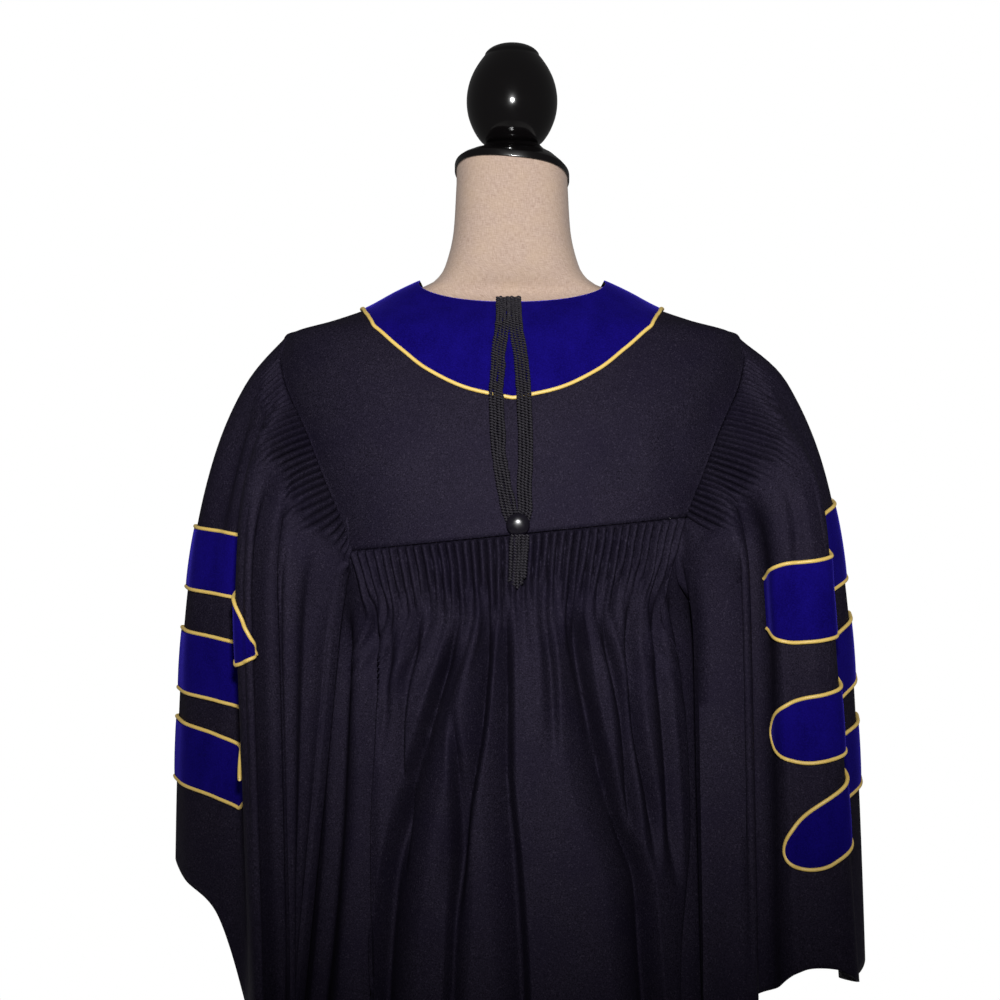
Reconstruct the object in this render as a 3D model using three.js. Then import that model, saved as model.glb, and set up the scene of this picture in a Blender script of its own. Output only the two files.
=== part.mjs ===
// A doctoral gown on a dress form, in millimetres, +Z up. The back of the gown faces -Y and the
// wearer's right is +X. The origin is on the floor, at the middle of the base, under the neck.
import * as THREE from "three";

// Driving dimensions
const CLOTH = 1.8; // thickness of the gown's cloth
const VELVET = 1.6; // thickness of the velvet
const SEAM = 0.3; // gap that each piece keeps to a seam line
const LAY = 0.4; // gap under the velvet of the collar and the facings
const PIPING_LAY = 0.6; // gap under the gold cord of the collar and the facings
const BAR_PIPING_LAY = 2.2; // gap under the gold cord of the bars
const PIPING_RADIUS = 2.1;
const CORD_SIDES = 5;
const PIPING_ROOM = PIPING_RADIUS + 0.7; // from the velvet's edge to the middle of its gold cord
const BAR_PIPING_ROOM = PIPING_RADIUS + 0.5;
const HEM_Z = 150; // the gown's hem above the floor
const SIDE = Math.PI / 2; // angle round the figure of the side seam, from the centre back
const SQUARENESS = 0.3; // how far the figure's rings are flatter than an ellipse
const NECK_BACK_Z = 1421;
const NECK_SIDE_Z = 1452;
const NECK_FRONT_Z = 1320;
const YOKE_SEAM_Z = 1178; // at the centre back
const YOKE_SEAM_TILT = 0.1; // the gown hangs a little higher on the right
const SHOULDER_Z = 1393; // top of the armhole
const UNDERARM_Z = 1092;
const FACING_HALF = 104; // from the centre front to the velvet's outer edge, below the chest

const BACK_FLUTES = 42;
const BACK_FLUTE_DEPTH = 5;
const BACK_FLUTE_LENGTH = 56;
const SLEEVE_FLUTES = 24;
const SLEEVE_FLUTE_DEPTH = 4.5;
const SLEEVE_FLUTES_START = 0.05; // share of the armhole, from the shoulder down the back

// Rings of the gown round the figure: half width, and depth behind and in front of the neck
const FIGURE = [
  { z: 1452, half: 100, back: 48, front: 48 },
  { z: 1438, half: 128, back: 61, front: 63 },
  { z: 1421, half: 161, back: 73, front: 80 },
  { z: 1408, half: 198, back: 84, front: 92 },
  { z: 1393, half: 247, back: 95, front: 102 },
  { z: 1370, half: 257, back: 106, front: 112 },
  { z: 1342, half: 260, back: 116, front: 120 },
  { z: 1282, half: 254, back: 131, front: 128 },
  { z: 1233, half: 243, back: 138, front: 132 },
  { z: 1178, half: 228, back: 143, front: 135 },
  { z: 1092, half: 205, back: 150, front: 138 },
  { z: 1000, half: 214, back: 158, front: 143 },
  { z: 860, half: 222, back: 168, front: 153 },
  { z: 700, half: 235, back: 182, front: 168 },
  { z: 480, half: 275, back: 208, front: 192 },
  { z: HEM_Z, half: 325, back: 236, front: 220 },
];

// Armhole seam: distance from the centre, on the back and on the front of the gown
const ARMHOLE = [
  { z: SHOULDER_Z, back: 247, front: 247 },
  { z: 1370, back: 249, front: 240 },
  { z: 1342, back: 243, front: 227 },
  { z: 1282, back: 215, front: 201 },
  { z: 1233, back: 195, front: 189 },
  { z: 1200, back: 181, front: 184 },
  { z: 1165, back: 169, front: 184 },
  { z: 1135, back: 170, front: 188 },
  { z: 1110, back: 183, front: 195 },
  { z: UNDERARM_Z, back: 205, front: 205 },
];

// Outer edge of the velvet on the back: height at each angle from the centre back, in degrees
const COLLAR_EDGE = [
  { angle: 0, z: 1317 },
  { angle: 10, z: 1327 },
  { angle: 20, z: 1348 },
  { angle: 27, z: 1370 },
  { angle: 34, z: 1390 },
  { angle: 41, z: 1401 },
  { angle: 52, z: 1409.5 },
  { angle: 66, z: 1416.5 },
  { angle: 90, z: 1420 },
];

// Outer edge of the velvet on the fronts
const FACING_EDGE = [
  { z: 1420, half: 163 },
  { z: 1400, half: 154 },
  { z: 1350, half: 130 },
  { z: 1290, half: 112 },
  { z: 1200, half: FACING_HALF },
  { z: HEM_Z, half: FACING_HALF },
];

// Valleys between the back's folds: where each starts and ends, its width and its depth
const BACK_VALLEYS = [
  { startZ: 1090, startX: -183, endZ: HEM_Z, endX: -268, width: 13, depth: 11 },
  { startZ: 1105, startX: -143, endZ: HEM_Z, endX: -205, width: 13, depth: 14 },
  { startZ: 1085, startX: -57, endZ: 770, endX: -137, width: 15, depth: 13 },
  { startZ: 1000, startX: -60, endZ: HEM_Z, endX: -105, width: 13, depth: 12 },
  { startZ: 1100, startX: -4, endZ: HEM_Z, endX: 18, width: 13, depth: 10 },
  { startZ: 1060, startX: 72, endZ: 780, endX: 147, width: 15, depth: 14 },
  { startZ: 1030, startX: 103, endZ: HEM_Z, endX: 125, width: 12, depth: 11 },
  { startZ: 1060, startX: 145, endZ: HEM_Z, endX: 205, width: 13, depth: 14 },
  { startZ: 1085, startX: 188, endZ: HEM_Z, endX: 268, width: 13, depth: 11 },
];
const FRONT_VALLEYS = [
  { startZ: 1250, startX: 128, endZ: HEM_Z, endX: 155, width: 14, depth: 11 },
  { startZ: 1080, startX: 165, endZ: HEM_Z, endX: 215, width: 14, depth: 12 },
];
const VALLEY_EASE = 70; // length over which a valley opens and closes
const HEM_SWELL = 0.9; // how much deeper the valleys are at the hem than at the knee
const KNEE_Z = 700;

// Sleeve threads: where on the armhole each starts, as a share from the shoulder down the back and
// up the front; its distance from the centre and its depth at the elbow and at the hem; the height
// of the hem there; and the fall over which it settles from the armhole to its hanging place
const ELBOW_Z = 1000;
const CUFF_Z = 700;
const SLEEVE_LEFT = [
  { share: 0.0, out: 374, depth: 10, outLow: 374, depthLow: 10, hem: 818, settle: 135 },
  { share: 0.03, out: 356, depth: -40, outLow: 352, depthLow: -42, hem: 805, settle: 120 },
  { share: 0.065, out: 314, depth: -68, outLow: 312, depthLow: -72, hem: 775, settle: 95 },
  { share: 0.098, out: 280, depth: -84, outLow: 280, depthLow: -92, hem: 692, settle: 70 },
  { share: 0.128, out: 277, depth: -146, outLow: 264, depthLow: -150, hem: 668, settle: 48 },
  { share: 0.165, out: 261, depth: -158, outLow: 250, depthLow: -160, hem: 655, settle: 38 },
  { share: 0.2, out: 244, depth: -142, outLow: 234, depthLow: -143, hem: 650, settle: 36 },
  { share: 0.24, out: 230, depth: -155, outLow: 222, depthLow: -156, hem: 648, settle: 36 },
  { share: 0.3, out: 192, depth: -128, outLow: 210, depthLow: -132, hem: 648, settle: 40 },
  { share: 0.38, out: 219, depth: -78, outLow: 236, depthLow: -80, hem: 650, settle: 34 },
  { share: 0.5, out: 222, depth: 0, outLow: 242, depthLow: 0, hem: 655, settle: 34 },
  { share: 0.62, out: 222, depth: 72, outLow: 238, depthLow: 74, hem: 670, settle: 38 },
  { share: 0.72, out: 246, depth: 116, outLow: 250, depthLow: 122, hem: 700, settle: 60 },
  { share: 0.8, out: 290, depth: 100, outLow: 292, depthLow: 104, hem: 740, settle: 70 },
  { share: 0.88, out: 332, depth: 108, outLow: 332, depthLow: 112, hem: 775, settle: 95 },
  { share: 0.95, out: 366, depth: 62, outLow: 366, depthLow: 64, hem: 806, settle: 120 },
];
const SLEEVE_RIGHT = [
  { share: 0.0, out: 384, depth: 10, outLow: 386, depthLow: 10, hem: 722, settle: 135 },
  { share: 0.03, out: 376, depth: -38, outLow: 380, depthLow: -40, hem: 718, settle: 120 },
  { share: 0.06, out: 350, depth: -70, outLow: 364, depthLow: -74, hem: 712, settle: 95 },
  { share: 0.085, out: 326, depth: -92, outLow: 342, depthLow: -96, hem: 716, settle: 70 },
  { share: 0.112, out: 332, depth: -144, outLow: 352, depthLow: -146, hem: 726, settle: 50 },
  { share: 0.15, out: 312, depth: -158, outLow: 326, depthLow: -160, hem: 742, settle: 40 },
  { share: 0.19, out: 276, depth: -156, outLow: 288, depthLow: -158, hem: 738, settle: 36 },
  { share: 0.22, out: 252, depth: -137, outLow: 262, depthLow: -138, hem: 712, settle: 36 },
  { share: 0.25, out: 236, depth: -158, outLow: 240, depthLow: -160, hem: 695, settle: 36 },
  { share: 0.3, out: 196, depth: -128, outLow: 186, depthLow: -156, hem: 684, settle: 40 },
  { share: 0.38, out: 219, depth: -78, outLow: 228, depthLow: -80, hem: 680, settle: 34 },
  { share: 0.5, out: 222, depth: 0, outLow: 242, depthLow: 0, hem: 682, settle: 34 },
  { share: 0.62, out: 222, depth: 72, outLow: 238, depthLow: 74, hem: 690, settle: 38 },
  { share: 0.72, out: 248, depth: 116, outLow: 254, depthLow: 122, hem: 700, settle: 60 },
  { share: 0.8, out: 296, depth: 100, outLow: 302, depthLow: 104, hem: 708, settle: 70 },
  { share: 0.88, out: 340, depth: 108, outLow: 346, depthLow: 112, hem: 715, settle: 95 },
  { share: 0.95, out: 375, depth: 62, outLow: 378, depthLow: 64, hem: 720, settle: 120 },
];

// Velvet bars: middle height at the outside of the sleeve, in its deep valley, on the ridge behind
// it and at the tip; the tip's share of the armhole; and the gap under a bar, which spans the folds
const BAR_HALF = 33;
const BAR_FRONT_SHARE = -0.13;
const BAR_TIP_SHARE = 0.05; // stretch over which a bar narrows to its tip
const BARS = [
  { side: "left", number: 1, outside: 1152, valley: 1139, ridge: 1079, tip: 1057, share: 0.18, lay: 1.5 },
  { side: "left", number: 2, outside: 1040, valley: 1025, ridge: 957, tip: 942, share: 0.147, lay: 1.2 },
  { side: "left", number: 3, outside: 944, valley: 922, ridge: 842, tip: 824, share: 0.138, lay: 1.2 },
  { side: "right", number: 1, outside: 1178, valley: 1150, ridge: 1121, tip: 1110, share: 0.218, lay: 1.8 },
  { side: "right", number: 2, outside: 1056, valley: 1022, ridge: 993, tip: 976, share: 0.213, lay: 1.2 },
  { side: "right", number: 3, outside: 944, valley: 922, ridge: 900, tip: 860, share: 0.198, lay: 1.2 },
];
const DEEP_VALLEY = { left: 0.098, right: 0.085 };
const NEAR_RIDGE = { left: 0.128, right: 0.112 };

// Braid strands: distance from the centre line at each height, and lift over the velvet and its cord
const BRAID_HALF = 7.5;
const BRAID_THICKNESS = 2.6;
const BRAID = [
  { z: 1418, left: -9, right: 8, lift: 2.8 },
  { z: 1370, left: -15, right: 8, lift: 2.8 },
  { z: 1336, left: -16, right: 10, lift: 3.6 },
  { z: 1317, left: -17, right: 11, lift: 6.4 },
  { z: 1296, left: -16, right: 12, lift: 3.6 },
  { z: 1262, left: -14.5, right: 13, lift: 1.4 },
  { z: 1225, left: -8.5, right: 11.5, lift: 1 },
  { z: 1204, left: -4, right: 12.5, lift: 1 },
];
const BUTTON_RADIUS = 12.5;
const BUTTON_HEIGHT = 10;
const BUTTON_Z = 1188;
const BUTTON_X = 5;
const TAIL_END_Z = 1124;
const TAIL_HALF = 9;

// Dress form: rings of the torso, from its flat foot to the top of its neck
const TORSO = [
  { z: 850, half: 150, back: 92, front: 96 },
  { z: 870, half: 164, back: 104, front: 108 },
  { z: 960, half: 172, back: 110, front: 112 },
  { z: 1060, half: 150, back: 98, front: 104 },
  { z: 1150, half: 156, back: 102, front: 108 },
  { z: 1260, half: 176, back: 108, front: 112 },
  { z: 1340, half: 196, back: 98, front: 104 },
  { z: 1378, half: 200, back: 84, front: 90 },
  { z: 1398, half: 190, back: 74, front: 80 },
];
const NECK = [
  { z: 1452, half: 86, back: 54, front: 54 },
  { z: 1468, half: 74, back: 58, front: 58 },
  { z: 1510, half: 64, back: 60, front: 60 },
  { z: 1560, half: 61, back: 60, front: 60 },
];
const SHOULDER_EASE = 7.4; // the form's shoulder inside the gown's, along a level ring
const NECK_TOP_Z = 1572;
const CAP_TILT_BACK = 0.17; // slope of the neck's top, higher at the back
const CAP_TILT_LEFT = 0.09; // slope of the neck's top, higher on the left
const CAP_RADIUS = 62;
const FINIAL_Z = 1602;
const POLE_RADIUS = 14;
const BASE_RADIUS = 215;
const BASE_HEIGHT = 26;

const radians = THREE.MathUtils.degToRad;
const { clamp, lerp, smoothstep } = THREE.MathUtils;
const byNumber = (p, q) => p - q;

// Cubic between two knots of a curve, from their values and slopes.
function hermite(t, span, from, to, slopeFrom, slopeTo) {
  const u = 1 - t;
  const ends = u * u * (1 + 2 * t) * from + t * t * (3 - 2 * t) * to;
  return ends + span * t * u * (u * slopeFrom - t * slopeTo);
}

// Curve through one column of a table that never overshoots its rows, held flat past its ends.
function curveThrough(table, along, column) {
  const rows = [...table].sort((p, q) => p[along] - q[along]);
  const x = rows.map((row) => row[along]);
  const y = rows.map((row) => row[column]);
  const rise = x.slice(1).map((next, i) => (y[i + 1] - y[i]) / (next - x[i]));
  const slope = y.map((_, i) => {
    const before = rise[Math.max(i - 1, 0)];
    const after = rise[Math.min(i, rise.length - 1)];
    return before * after <= 0 ? 0 : (2 * before * after) / (before + after);
  });
  return (at) => {
    const last = x.findIndex((knot) => knot >= at);
    const i = last < 0 ? x.length - 2 : Math.max(last - 1, 0);
    const span = x[i + 1] - x[i];
    return hermite(clamp((at - x[i]) / span, 0, 1), span, y[i], y[i + 1], slope[i], slope[i + 1]);
  };
}

// Closed curve through one column of a table whose shares run from 0 to 1 and round again.
function ringThrough(table, column) {
  const count = table.length;
  const share = (i) => table[((i % count) + count) % count].share + Math.floor(i / count);
  const value = (i) => table[((i % count) + count) % count][column];
  const slope = (i) => (value(i + 1) - value(i - 1)) / (share(i + 1) - share(i - 1));
  return (at) => {
    const turn = at - Math.floor(at);
    const next = table.findIndex((row) => row.share > turn);
    const i = (next < 0 ? count : next) - 1;
    const span = share(i + 1) - share(i);
    return hermite((turn - share(i)) / span, span, value(i), value(i + 1), slope(i), slope(i + 1));
  };
}

// Unit normal of a surface point(u, v), along the cross product of its two directions.
function normalOf(point, u, v, stepU, stepV) {
  const along = point(u + stepU, v).sub(point(u - stepU, v));
  return along.cross(point(u, v + stepV).sub(point(u, v - stepV))).normalize();
}

const SIGN = { left: -1, right: 1 };
const outwards = (side, vector) => vector.setX(SIGN[side] * vector.x);
const moved = (point, direction, distance) => point.clone().addScaledVector(direction, distance);

// Triangles between two lines of numbered vertices, the upper one first, both from left to right.
function stitch(upper, lower, faces) {
  let i = 0;
  let j = 0;
  while (i < upper.length - 1 || j < lower.length - 1) {
    const nextUpper = i < upper.length - 1 ? upper[i + 1].at : Infinity;
    const nextLower = j < lower.length - 1 ? lower[j + 1].at : Infinity;
    if (nextLower <= nextUpper) {
      faces.push([upper[i].vertex, lower[j].vertex, lower[j + 1].vertex]);
      j += 1;
    } else {
      faces.push([upper[i].vertex, lower[j].vertex, upper[i + 1].vertex]);
      i += 1;
    }
  }
}

// Closed wall between an outer and an inner net. A net is a list of rows from top to bottom, and a
// row holds points from left to right as seen from outside, each with its column. A ring's rows
// close on themselves after the given number of columns, and a mirrored wall has its faces turned.
function wall(outer, inner, { ring = 0, mirrored = false } = {}) {
  const position = [];
  const faces = [];
  const numbered = (net) =>
    net.map((row) => {
      const line = row.map(({ at, point }) => {
        position.push(point.x, point.y, point.z);
        return { at, vertex: position.length / 3 - 1 };
      });
      return ring ? [...line, { at: ring, vertex: line[0].vertex }] : line;
    });
  const out = numbered(outer);
  const back = numbered(inner);
  const inside = [];
  for (let i = 0; i + 1 < out.length; i += 1) {
    stitch(out[i], out[i + 1], faces);
    stitch(back[i], back[i + 1], inside);
  }
  inside.forEach(([a, b, c]) => faces.push([a, c, b]));
  stitch(back[0], out[0], faces);
  stitch(out.at(-1), back.at(-1), faces);
  if (!ring) {
    const edge = (rows, end) => rows.map((row, i) => ({ at: i, vertex: row.at(end).vertex }));
    stitch(edge(out, 0), edge(back, 0), faces);
    stitch(edge(back, -1), edge(out, -1), faces);
  }
  const geometry = new THREE.BufferGeometry();
  geometry.setAttribute("position", new THREE.Float32BufferAttribute(position, 3));
  geometry.setIndex(faces.flatMap(([a, b, c]) => (mirrored ? [a, c, b] : [a, b, c])));
  geometry.computeVertexNormals();
  return geometry;
}

// Closed solid through rings of points, each turning left about the way to the next.
function lofted(rings) {
  const position = [];
  const index = [];
  const count = rings[0].length;
  rings.forEach((ring) => ring.forEach((point) => position.push(point.x, point.y, point.z)));
  for (let i = 0; i + 1 < rings.length; i += 1) {
    for (let j = 0; j < count; j += 1) {
      const next = (j + 1) % count;
      const [a, b] = [i * count + j, i * count + next];
      index.push(a, b, b + count, a, b + count, a + count);
    }
  }
  const cap = (ring, first, turnedOver) => {
    const middle = position.length / 3;
    const centre = ring.reduce((sum, point) => sum.add(point), new THREE.Vector3());
    centre.divideScalar(count);
    position.push(centre.x, centre.y, centre.z);
    for (let j = 0; j < count; j += 1) {
      const [a, b] = [first + j, first + ((j + 1) % count)];
      index.push(middle, ...(turnedOver ? [b, a] : [a, b]));
    }
  };
  cap(rings[0], 0, true);
  cap(rings.at(-1), (rings.length - 1) * count, false);
  const geometry = new THREE.BufferGeometry();
  geometry.setAttribute("position", new THREE.Float32BufferAttribute(position, 3));
  geometry.setIndex(index);
  geometry.computeVertexNormals();
  return geometry;
}

const around = (count, pointAt) =>
  Array.from({ length: count }, (_, i) => pointAt((2 * Math.PI * i) / count));

// Direction of a path of points at one of them.
const directionAt = (points, i) =>
  points[Math.min(i + 1, points.length - 1)].clone().sub(points[Math.max(i - 1, 0)]).normalize();

// Round cord with a ring at each point of its path, its first side turned to the normal there.
function cordGeometry({ points, normals }, sides) {
  const rings = points.map((point, i) => {
    const along = directionAt(points, i);
    const across = along.clone().cross(normals[i]).normalize();
    const up = across.clone().cross(along);
    return around(sides, (turn) => {
      const rim = moved(point, up, PIPING_RADIUS * Math.cos(turn));
      return moved(rim, across, PIPING_RADIUS * Math.sin(turn));
    });
  });
  return lofted(rings);
}

// The gown's surface round the figure, before its folds
const figureHalf = curveThrough(FIGURE, "z", "half");
const figureBack = curveThrough(FIGURE, "z", "back");
const figureFront = curveThrough(FIGURE, "z", "front");

function ringPoint(angle, half, depth, z) {
  const across = Math.sin(angle);
  const along = Math.cos(angle) * (1 + SQUARENESS * across * across);
  return new THREE.Vector3(half * across, -depth * along, z);
}

function figurePoint(angle, z) {
  const depth = Math.cos(angle) > 0 ? figureBack(z) : figureFront(z);
  return ringPoint(angle, figureHalf(z), depth, z);
}

const figureNormal = (angle, z) => normalOf(figurePoint, angle, z, 0.01, 0.5);

// How far the cloth lies inside the figure's surface at the valleys between its folds.
function valleyDepth(valleys, x, z) {
  const swell = 1 + HEM_SWELL * clamp((KNEE_Z - z) / (KNEE_Z - HEM_Z), 0, 1);
  return valleys.reduce((sum, valley) => {
    const share = clamp((valley.startZ - z) / (valley.startZ - valley.endZ), 0, 1);
    const middle = lerp(valley.startX, valley.endX, share);
    const opens = smoothstep(valley.startZ - z, 0, VALLEY_EASE);
    const closes = valley.endZ > HEM_Z ? smoothstep(z - valley.endZ, 0, VALLEY_EASE) : 1;
    const across = (x - middle) / (valley.width * swell);
    return sum + valley.depth * swell * opens * closes * Math.exp(-across * across);
  }, 0);
}

function gownPoint(angle, z) {
  const base = figurePoint(angle, z);
  const behind = Math.cos(angle) > 0;
  const depth = valleyDepth(behind ? BACK_VALLEYS : FRONT_VALLEYS, behind ? base.x : Math.abs(base.x), z);
  const inward = new THREE.Vector3(-base.x / figureHalf(z) ** 2, -base.y / figureBack(z) ** 2, 0);
  const clearOfSide = 1 - Math.abs(Math.sin(angle)) ** 12;
  return moved(base, inward.normalize(), depth * clearOfSide);
}

const gownNormal = (angle, z) => normalOf(gownPoint, angle, z, 0.01, 2);

// Angle on the figure, from the centre back or the centre front, of a distance from the centre.
const angleAt = (x, z) => Math.asin(clamp(x / figureHalf(z), -1, 1));

// The armhole seam, in shares: 0 at the shoulder, 0.5 at the underarm, back first
const armholeBack = curveThrough(ARMHOLE, "z", "back");
const armholeFront = curveThrough(ARMHOLE, "z", "front");
const armholeAngle = {
  back: (z) => (z >= SHOULDER_Z || z <= UNDERARM_Z ? SIDE : angleAt(armholeBack(z), z)),
  front: (z) => (z >= SHOULDER_Z || z <= UNDERARM_Z ? SIDE : Math.PI - angleAt(armholeFront(z), z)),
};

// Height on one branch of the armhole at a share of its length.
function armholeHeights(angle) {
  const samples = 120;
  const heights = Array.from({ length: samples + 1 }, (_, i) =>
    lerp(SHOULDER_Z, UNDERARM_Z, (1 - Math.cos((Math.PI * i) / samples)) / 2),
  );
  const points = heights.map((z) => figurePoint(angle(z), z));
  const length = [0];
  for (let i = 1; i <= samples; i += 1) {
    length.push(length[i - 1] + points[i].distanceTo(points[i - 1]));
  }
  const rows = heights.map((z, i) => ({ z, share: length[i] / length.at(-1) }));
  return curveThrough(rows, "share", "z");
}

const backHeight = armholeHeights(armholeAngle.back);
const frontHeight = armholeHeights(armholeAngle.front);

// Where a share of the armhole lies on the figure: its angle and height.
function armholePlace(share) {
  const turn = share - Math.floor(share);
  const z = turn <= 0.5 ? backHeight(2 * turn) : frontHeight(2 * (1 - turn));
  return { z, angle: turn <= 0.5 ? armholeAngle.back(z) : armholeAngle.front(z) };
}

const yokeSeamZ = (x) => YOKE_SEAM_Z + YOKE_SEAM_TILT * x;

// Share of the armhole where the yoke seam meets it, on the side of the given sign.
function cornerShare(sign) {
  let low = 0.2;
  let high = 0.42;
  for (let i = 0; i < 40; i += 1) {
    const share = (low + high) / 2;
    const { z, angle } = armholePlace(share);
    if (z > yokeSeamZ(sign * figurePoint(angle, z).x)) low = share;
    else high = share;
  }
  return low;
}

const CORNER = { left: cornerShare(-1), right: cornerShare(1) };

const UNDERARM_PARTS = [0, 0.25, 0.5, 0.75]; // columns from the underarm towards the yoke's corner
const FRONT_SHARES = [1, 0.985, 0.965, 0.94, 0.91, 0.87, 0.83, 0.79, 0.75, 0.71, 0.67, 0.62, 0.56, 0.5];

// Shares of the armhole at which a sleeve has threads: a pair to each flute, and wider elsewhere.
function sleeveShares(side) {
  const corner = CORNER[side];
  const step = (corner - SLEEVE_FLUTES_START) / (2 * SLEEVE_FLUTES);
  const fluted = Array.from({ length: 2 * SLEEVE_FLUTES + 1 }, (_, i) => SLEEVE_FLUTES_START + i * step);
  const plainBack = UNDERARM_PARTS.slice(1).map((part) => lerp(0.5, corner, part));
  return [0, 0.025, ...fluted, ...plainBack.reverse(), ...FRONT_SHARES.slice(1).reverse()];
}

const SHARES = { left: sleeveShares("left"), right: sleeveShares("right") };
const isFluted = (share, side) =>
  share > SLEEVE_FLUTES_START - 1e-6 && share < CORNER[side] + 1e-6;
const FIRST_FLUTE = 2; // column of the first flute's thread
const SEAM_STEP = 6; // flute threads between two points of the seam that the yoke shares
const isCrest = (column) => column % 2 === 1;
const onSeam = (share, column, side) =>
  !isFluted(share, side) || (column - FIRST_FLUTE) % SEAM_STEP === 0;

const material = (color, roughness, metalness = 0) =>
  new THREE.MeshStandardMaterial({ color, roughness, metalness });
const blackCloth = material("#1b1820", 0.85);
const blueVelvet = material("#1c0a90", 0.9);
const goldCord = material("#d9ac45", 0.5);
const blackBraid = material("#0d0c10", 0.7);
const blackGloss = material("#08080a", 0.15);
const linen = material("#d8bfa0", 0.9);

const gown = new THREE.Group();
function add(name, geometry, finish) {
  const mesh = new THREE.Mesh(geometry, finish);
  mesh.name = name;
  gown.add(mesh);
}

// Yoke and the collar on it: columns run from the left shoulder round the back to the right one
const YOKE_MIDDLE_COLUMNS = 16;
const COLLAR_ROWS = 3;
const YOKE_ROWS = 4; // below the collar
const collarEdge = curveThrough(COLLAR_EDGE, "angle", "z");
const collarEdgeZ = (angle) => collarEdge(Math.abs(THREE.MathUtils.radToDeg(angle)));
const neckZ = (angle) => lerp(NECK_BACK_Z, NECK_SIDE_Z, Math.sin(angle) ** 2);

function yokeColumns() {
  const shoulder = (side) =>
    SHARES[side]
      .filter((share, i) => share < CORNER[side] - 1e-6 && onSeam(share, i, side))
      .map((share) => ({ angle: SIGN[side] * armholePlace(share).angle, z: armholePlace(share).z }));
  const corner = (side) => SIGN[side] * armholePlace(CORNER[side]).angle;
  const middle = Array.from({ length: YOKE_MIDDLE_COLUMNS + 1 }, (_, i) => {
    const angle = lerp(corner("left"), corner("right"), i / YOKE_MIDDLE_COLUMNS);
    const x = figureHalf(YOKE_SEAM_Z) * Math.sin(angle);
    return { angle, z: yokeSeamZ(x) };
  });
  return [...shoulder("left"), ...middle, ...shoulder("right").reverse()];
}

const YOKE = yokeColumns();

// Height on a yoke column: the first rows lie under the collar, the rest below it.
function yokeRowZ({ angle, z }, row) {
  const edge = collarEdgeZ(angle);
  if (row <= COLLAR_ROWS) return lerp(neckZ(angle), edge, row / COLLAR_ROWS);
  return lerp(edge, z, (row - COLLAR_ROWS) / YOKE_ROWS);
}

// Net over the yoke's columns, moved out from the figure, its last row drawn back from the seam.
function yokeNet(lastRow, distance, drawBack) {
  const rows = Array.from({ length: lastRow + 1 }, (_, row) =>
    YOKE.map((column, at) => {
      const z = yokeRowZ(column, row);
      const normal = figureNormal(column.angle, Math.min(z, NECK_SIDE_Z - 1));
      return { at, point: moved(figurePoint(column.angle, z), normal, distance) };
    }),
  );
  rows[lastRow].forEach(({ point }, at) => {
    const towards = rows[lastRow - 1][at].point.clone().sub(point).normalize();
    point.addScaledVector(towards, drawBack);
  });
  return rows;
}

const YOKE_LAST = COLLAR_ROWS + YOKE_ROWS;
add("yoke", wall(yokeNet(YOKE_LAST, 0, SEAM), yokeNet(YOKE_LAST, -CLOTH, SEAM)), blackCloth);

const collarNet = (distance) => yokeNet(COLLAR_ROWS, distance, 0);
add("collar", wall(collarNet(LAY + VELVET), collarNet(LAY)), blueVelvet);

// Path of a cord beside an edge: each point is moved out along its normal and away from the piece.
function besideEdge(edge, normals, lift, room) {
  const points = edge.map((point, i) => {
    const away = directionAt(edge, i).cross(normals[i]).normalize();
    return moved(moved(point, normals[i], lift + PIPING_RADIUS), away, room);
  });
  return { points, normals };
}

const collarEdgePoints = YOKE.map(({ angle }) => figurePoint(angle, collarEdgeZ(angle)));
const collarEdgeNormals = YOKE.map(({ angle }) => figureNormal(angle, collarEdgeZ(angle)));
const collarPiping = besideEdge(collarEdgePoints, collarEdgeNormals, PIPING_LAY, PIPING_ROOM);
add("collar_piping", cordGeometry(collarPiping, CORD_SIDES), goldCord);

// Back panel: side columns hang from the armhole, and the rest, two to a flute, from the yoke seam
const UNDERARM_GAP = 2.4; // from the back panel to the armhole under the yoke's corners
const BACK_LOW_CORNER = radians(66); // where the columns under the yoke's corners hang
const BACK_LEAN = 0.985; // how the columns draw in under the yoke's corners, clear of the armholes
const BACK_LEAN_FALL = 30;
const BACK_SPREAD_Z = 1105; // where the columns start to spread to their hanging places
const BACK_SPREAD = 130; // fall over which they do
const BACK_ROWS = [0, 0.1, 0.5, 0.95, 1.5]; // rows of the flutes, in flute lengths
const FLUTE_SWELL = [0, 1, 1, 0.65, 0.15]; // height of the crests at those rows
const BACK_HANGING_ROWS = 6;

function backColumns() {
  const sideColumns = (side) =>
    UNDERARM_PARTS.map((part) => {
      const place = armholePlace(lerp(0.5, CORNER[side], part));
      const top = place.angle - (part > 0 ? UNDERARM_GAP / figureHalf(place.z) : 0);
      const low = lerp(SIDE, BACK_LOW_CORNER, part);
      return { top: SIGN[side] * top, z: place.z, low: SIGN[side] * low };
    });
  const corner = (side) => {
    const { angle, z } = armholePlace(CORNER[side]);
    return SIGN[side] * (figurePoint(angle, z).x - UNDERARM_GAP);
  };
  const fluted = Array.from({ length: 2 * BACK_FLUTES + 1 }, (_, i) => {
    const x = lerp(corner("left"), corner("right"), i / (2 * BACK_FLUTES));
    const z = yokeSeamZ(x);
    const spread = lerp(-1, 1, i / (2 * BACK_FLUTES));
    const low = spread * BACK_LOW_CORNER;
    return { top: angleAt(x, z), z, low, lean: BACK_LEAN, crest: isCrest(i) };
  });
  return [...sideColumns("left"), ...fluted, ...sideColumns("right").reverse()];
}

const BACK = backColumns();

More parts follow.
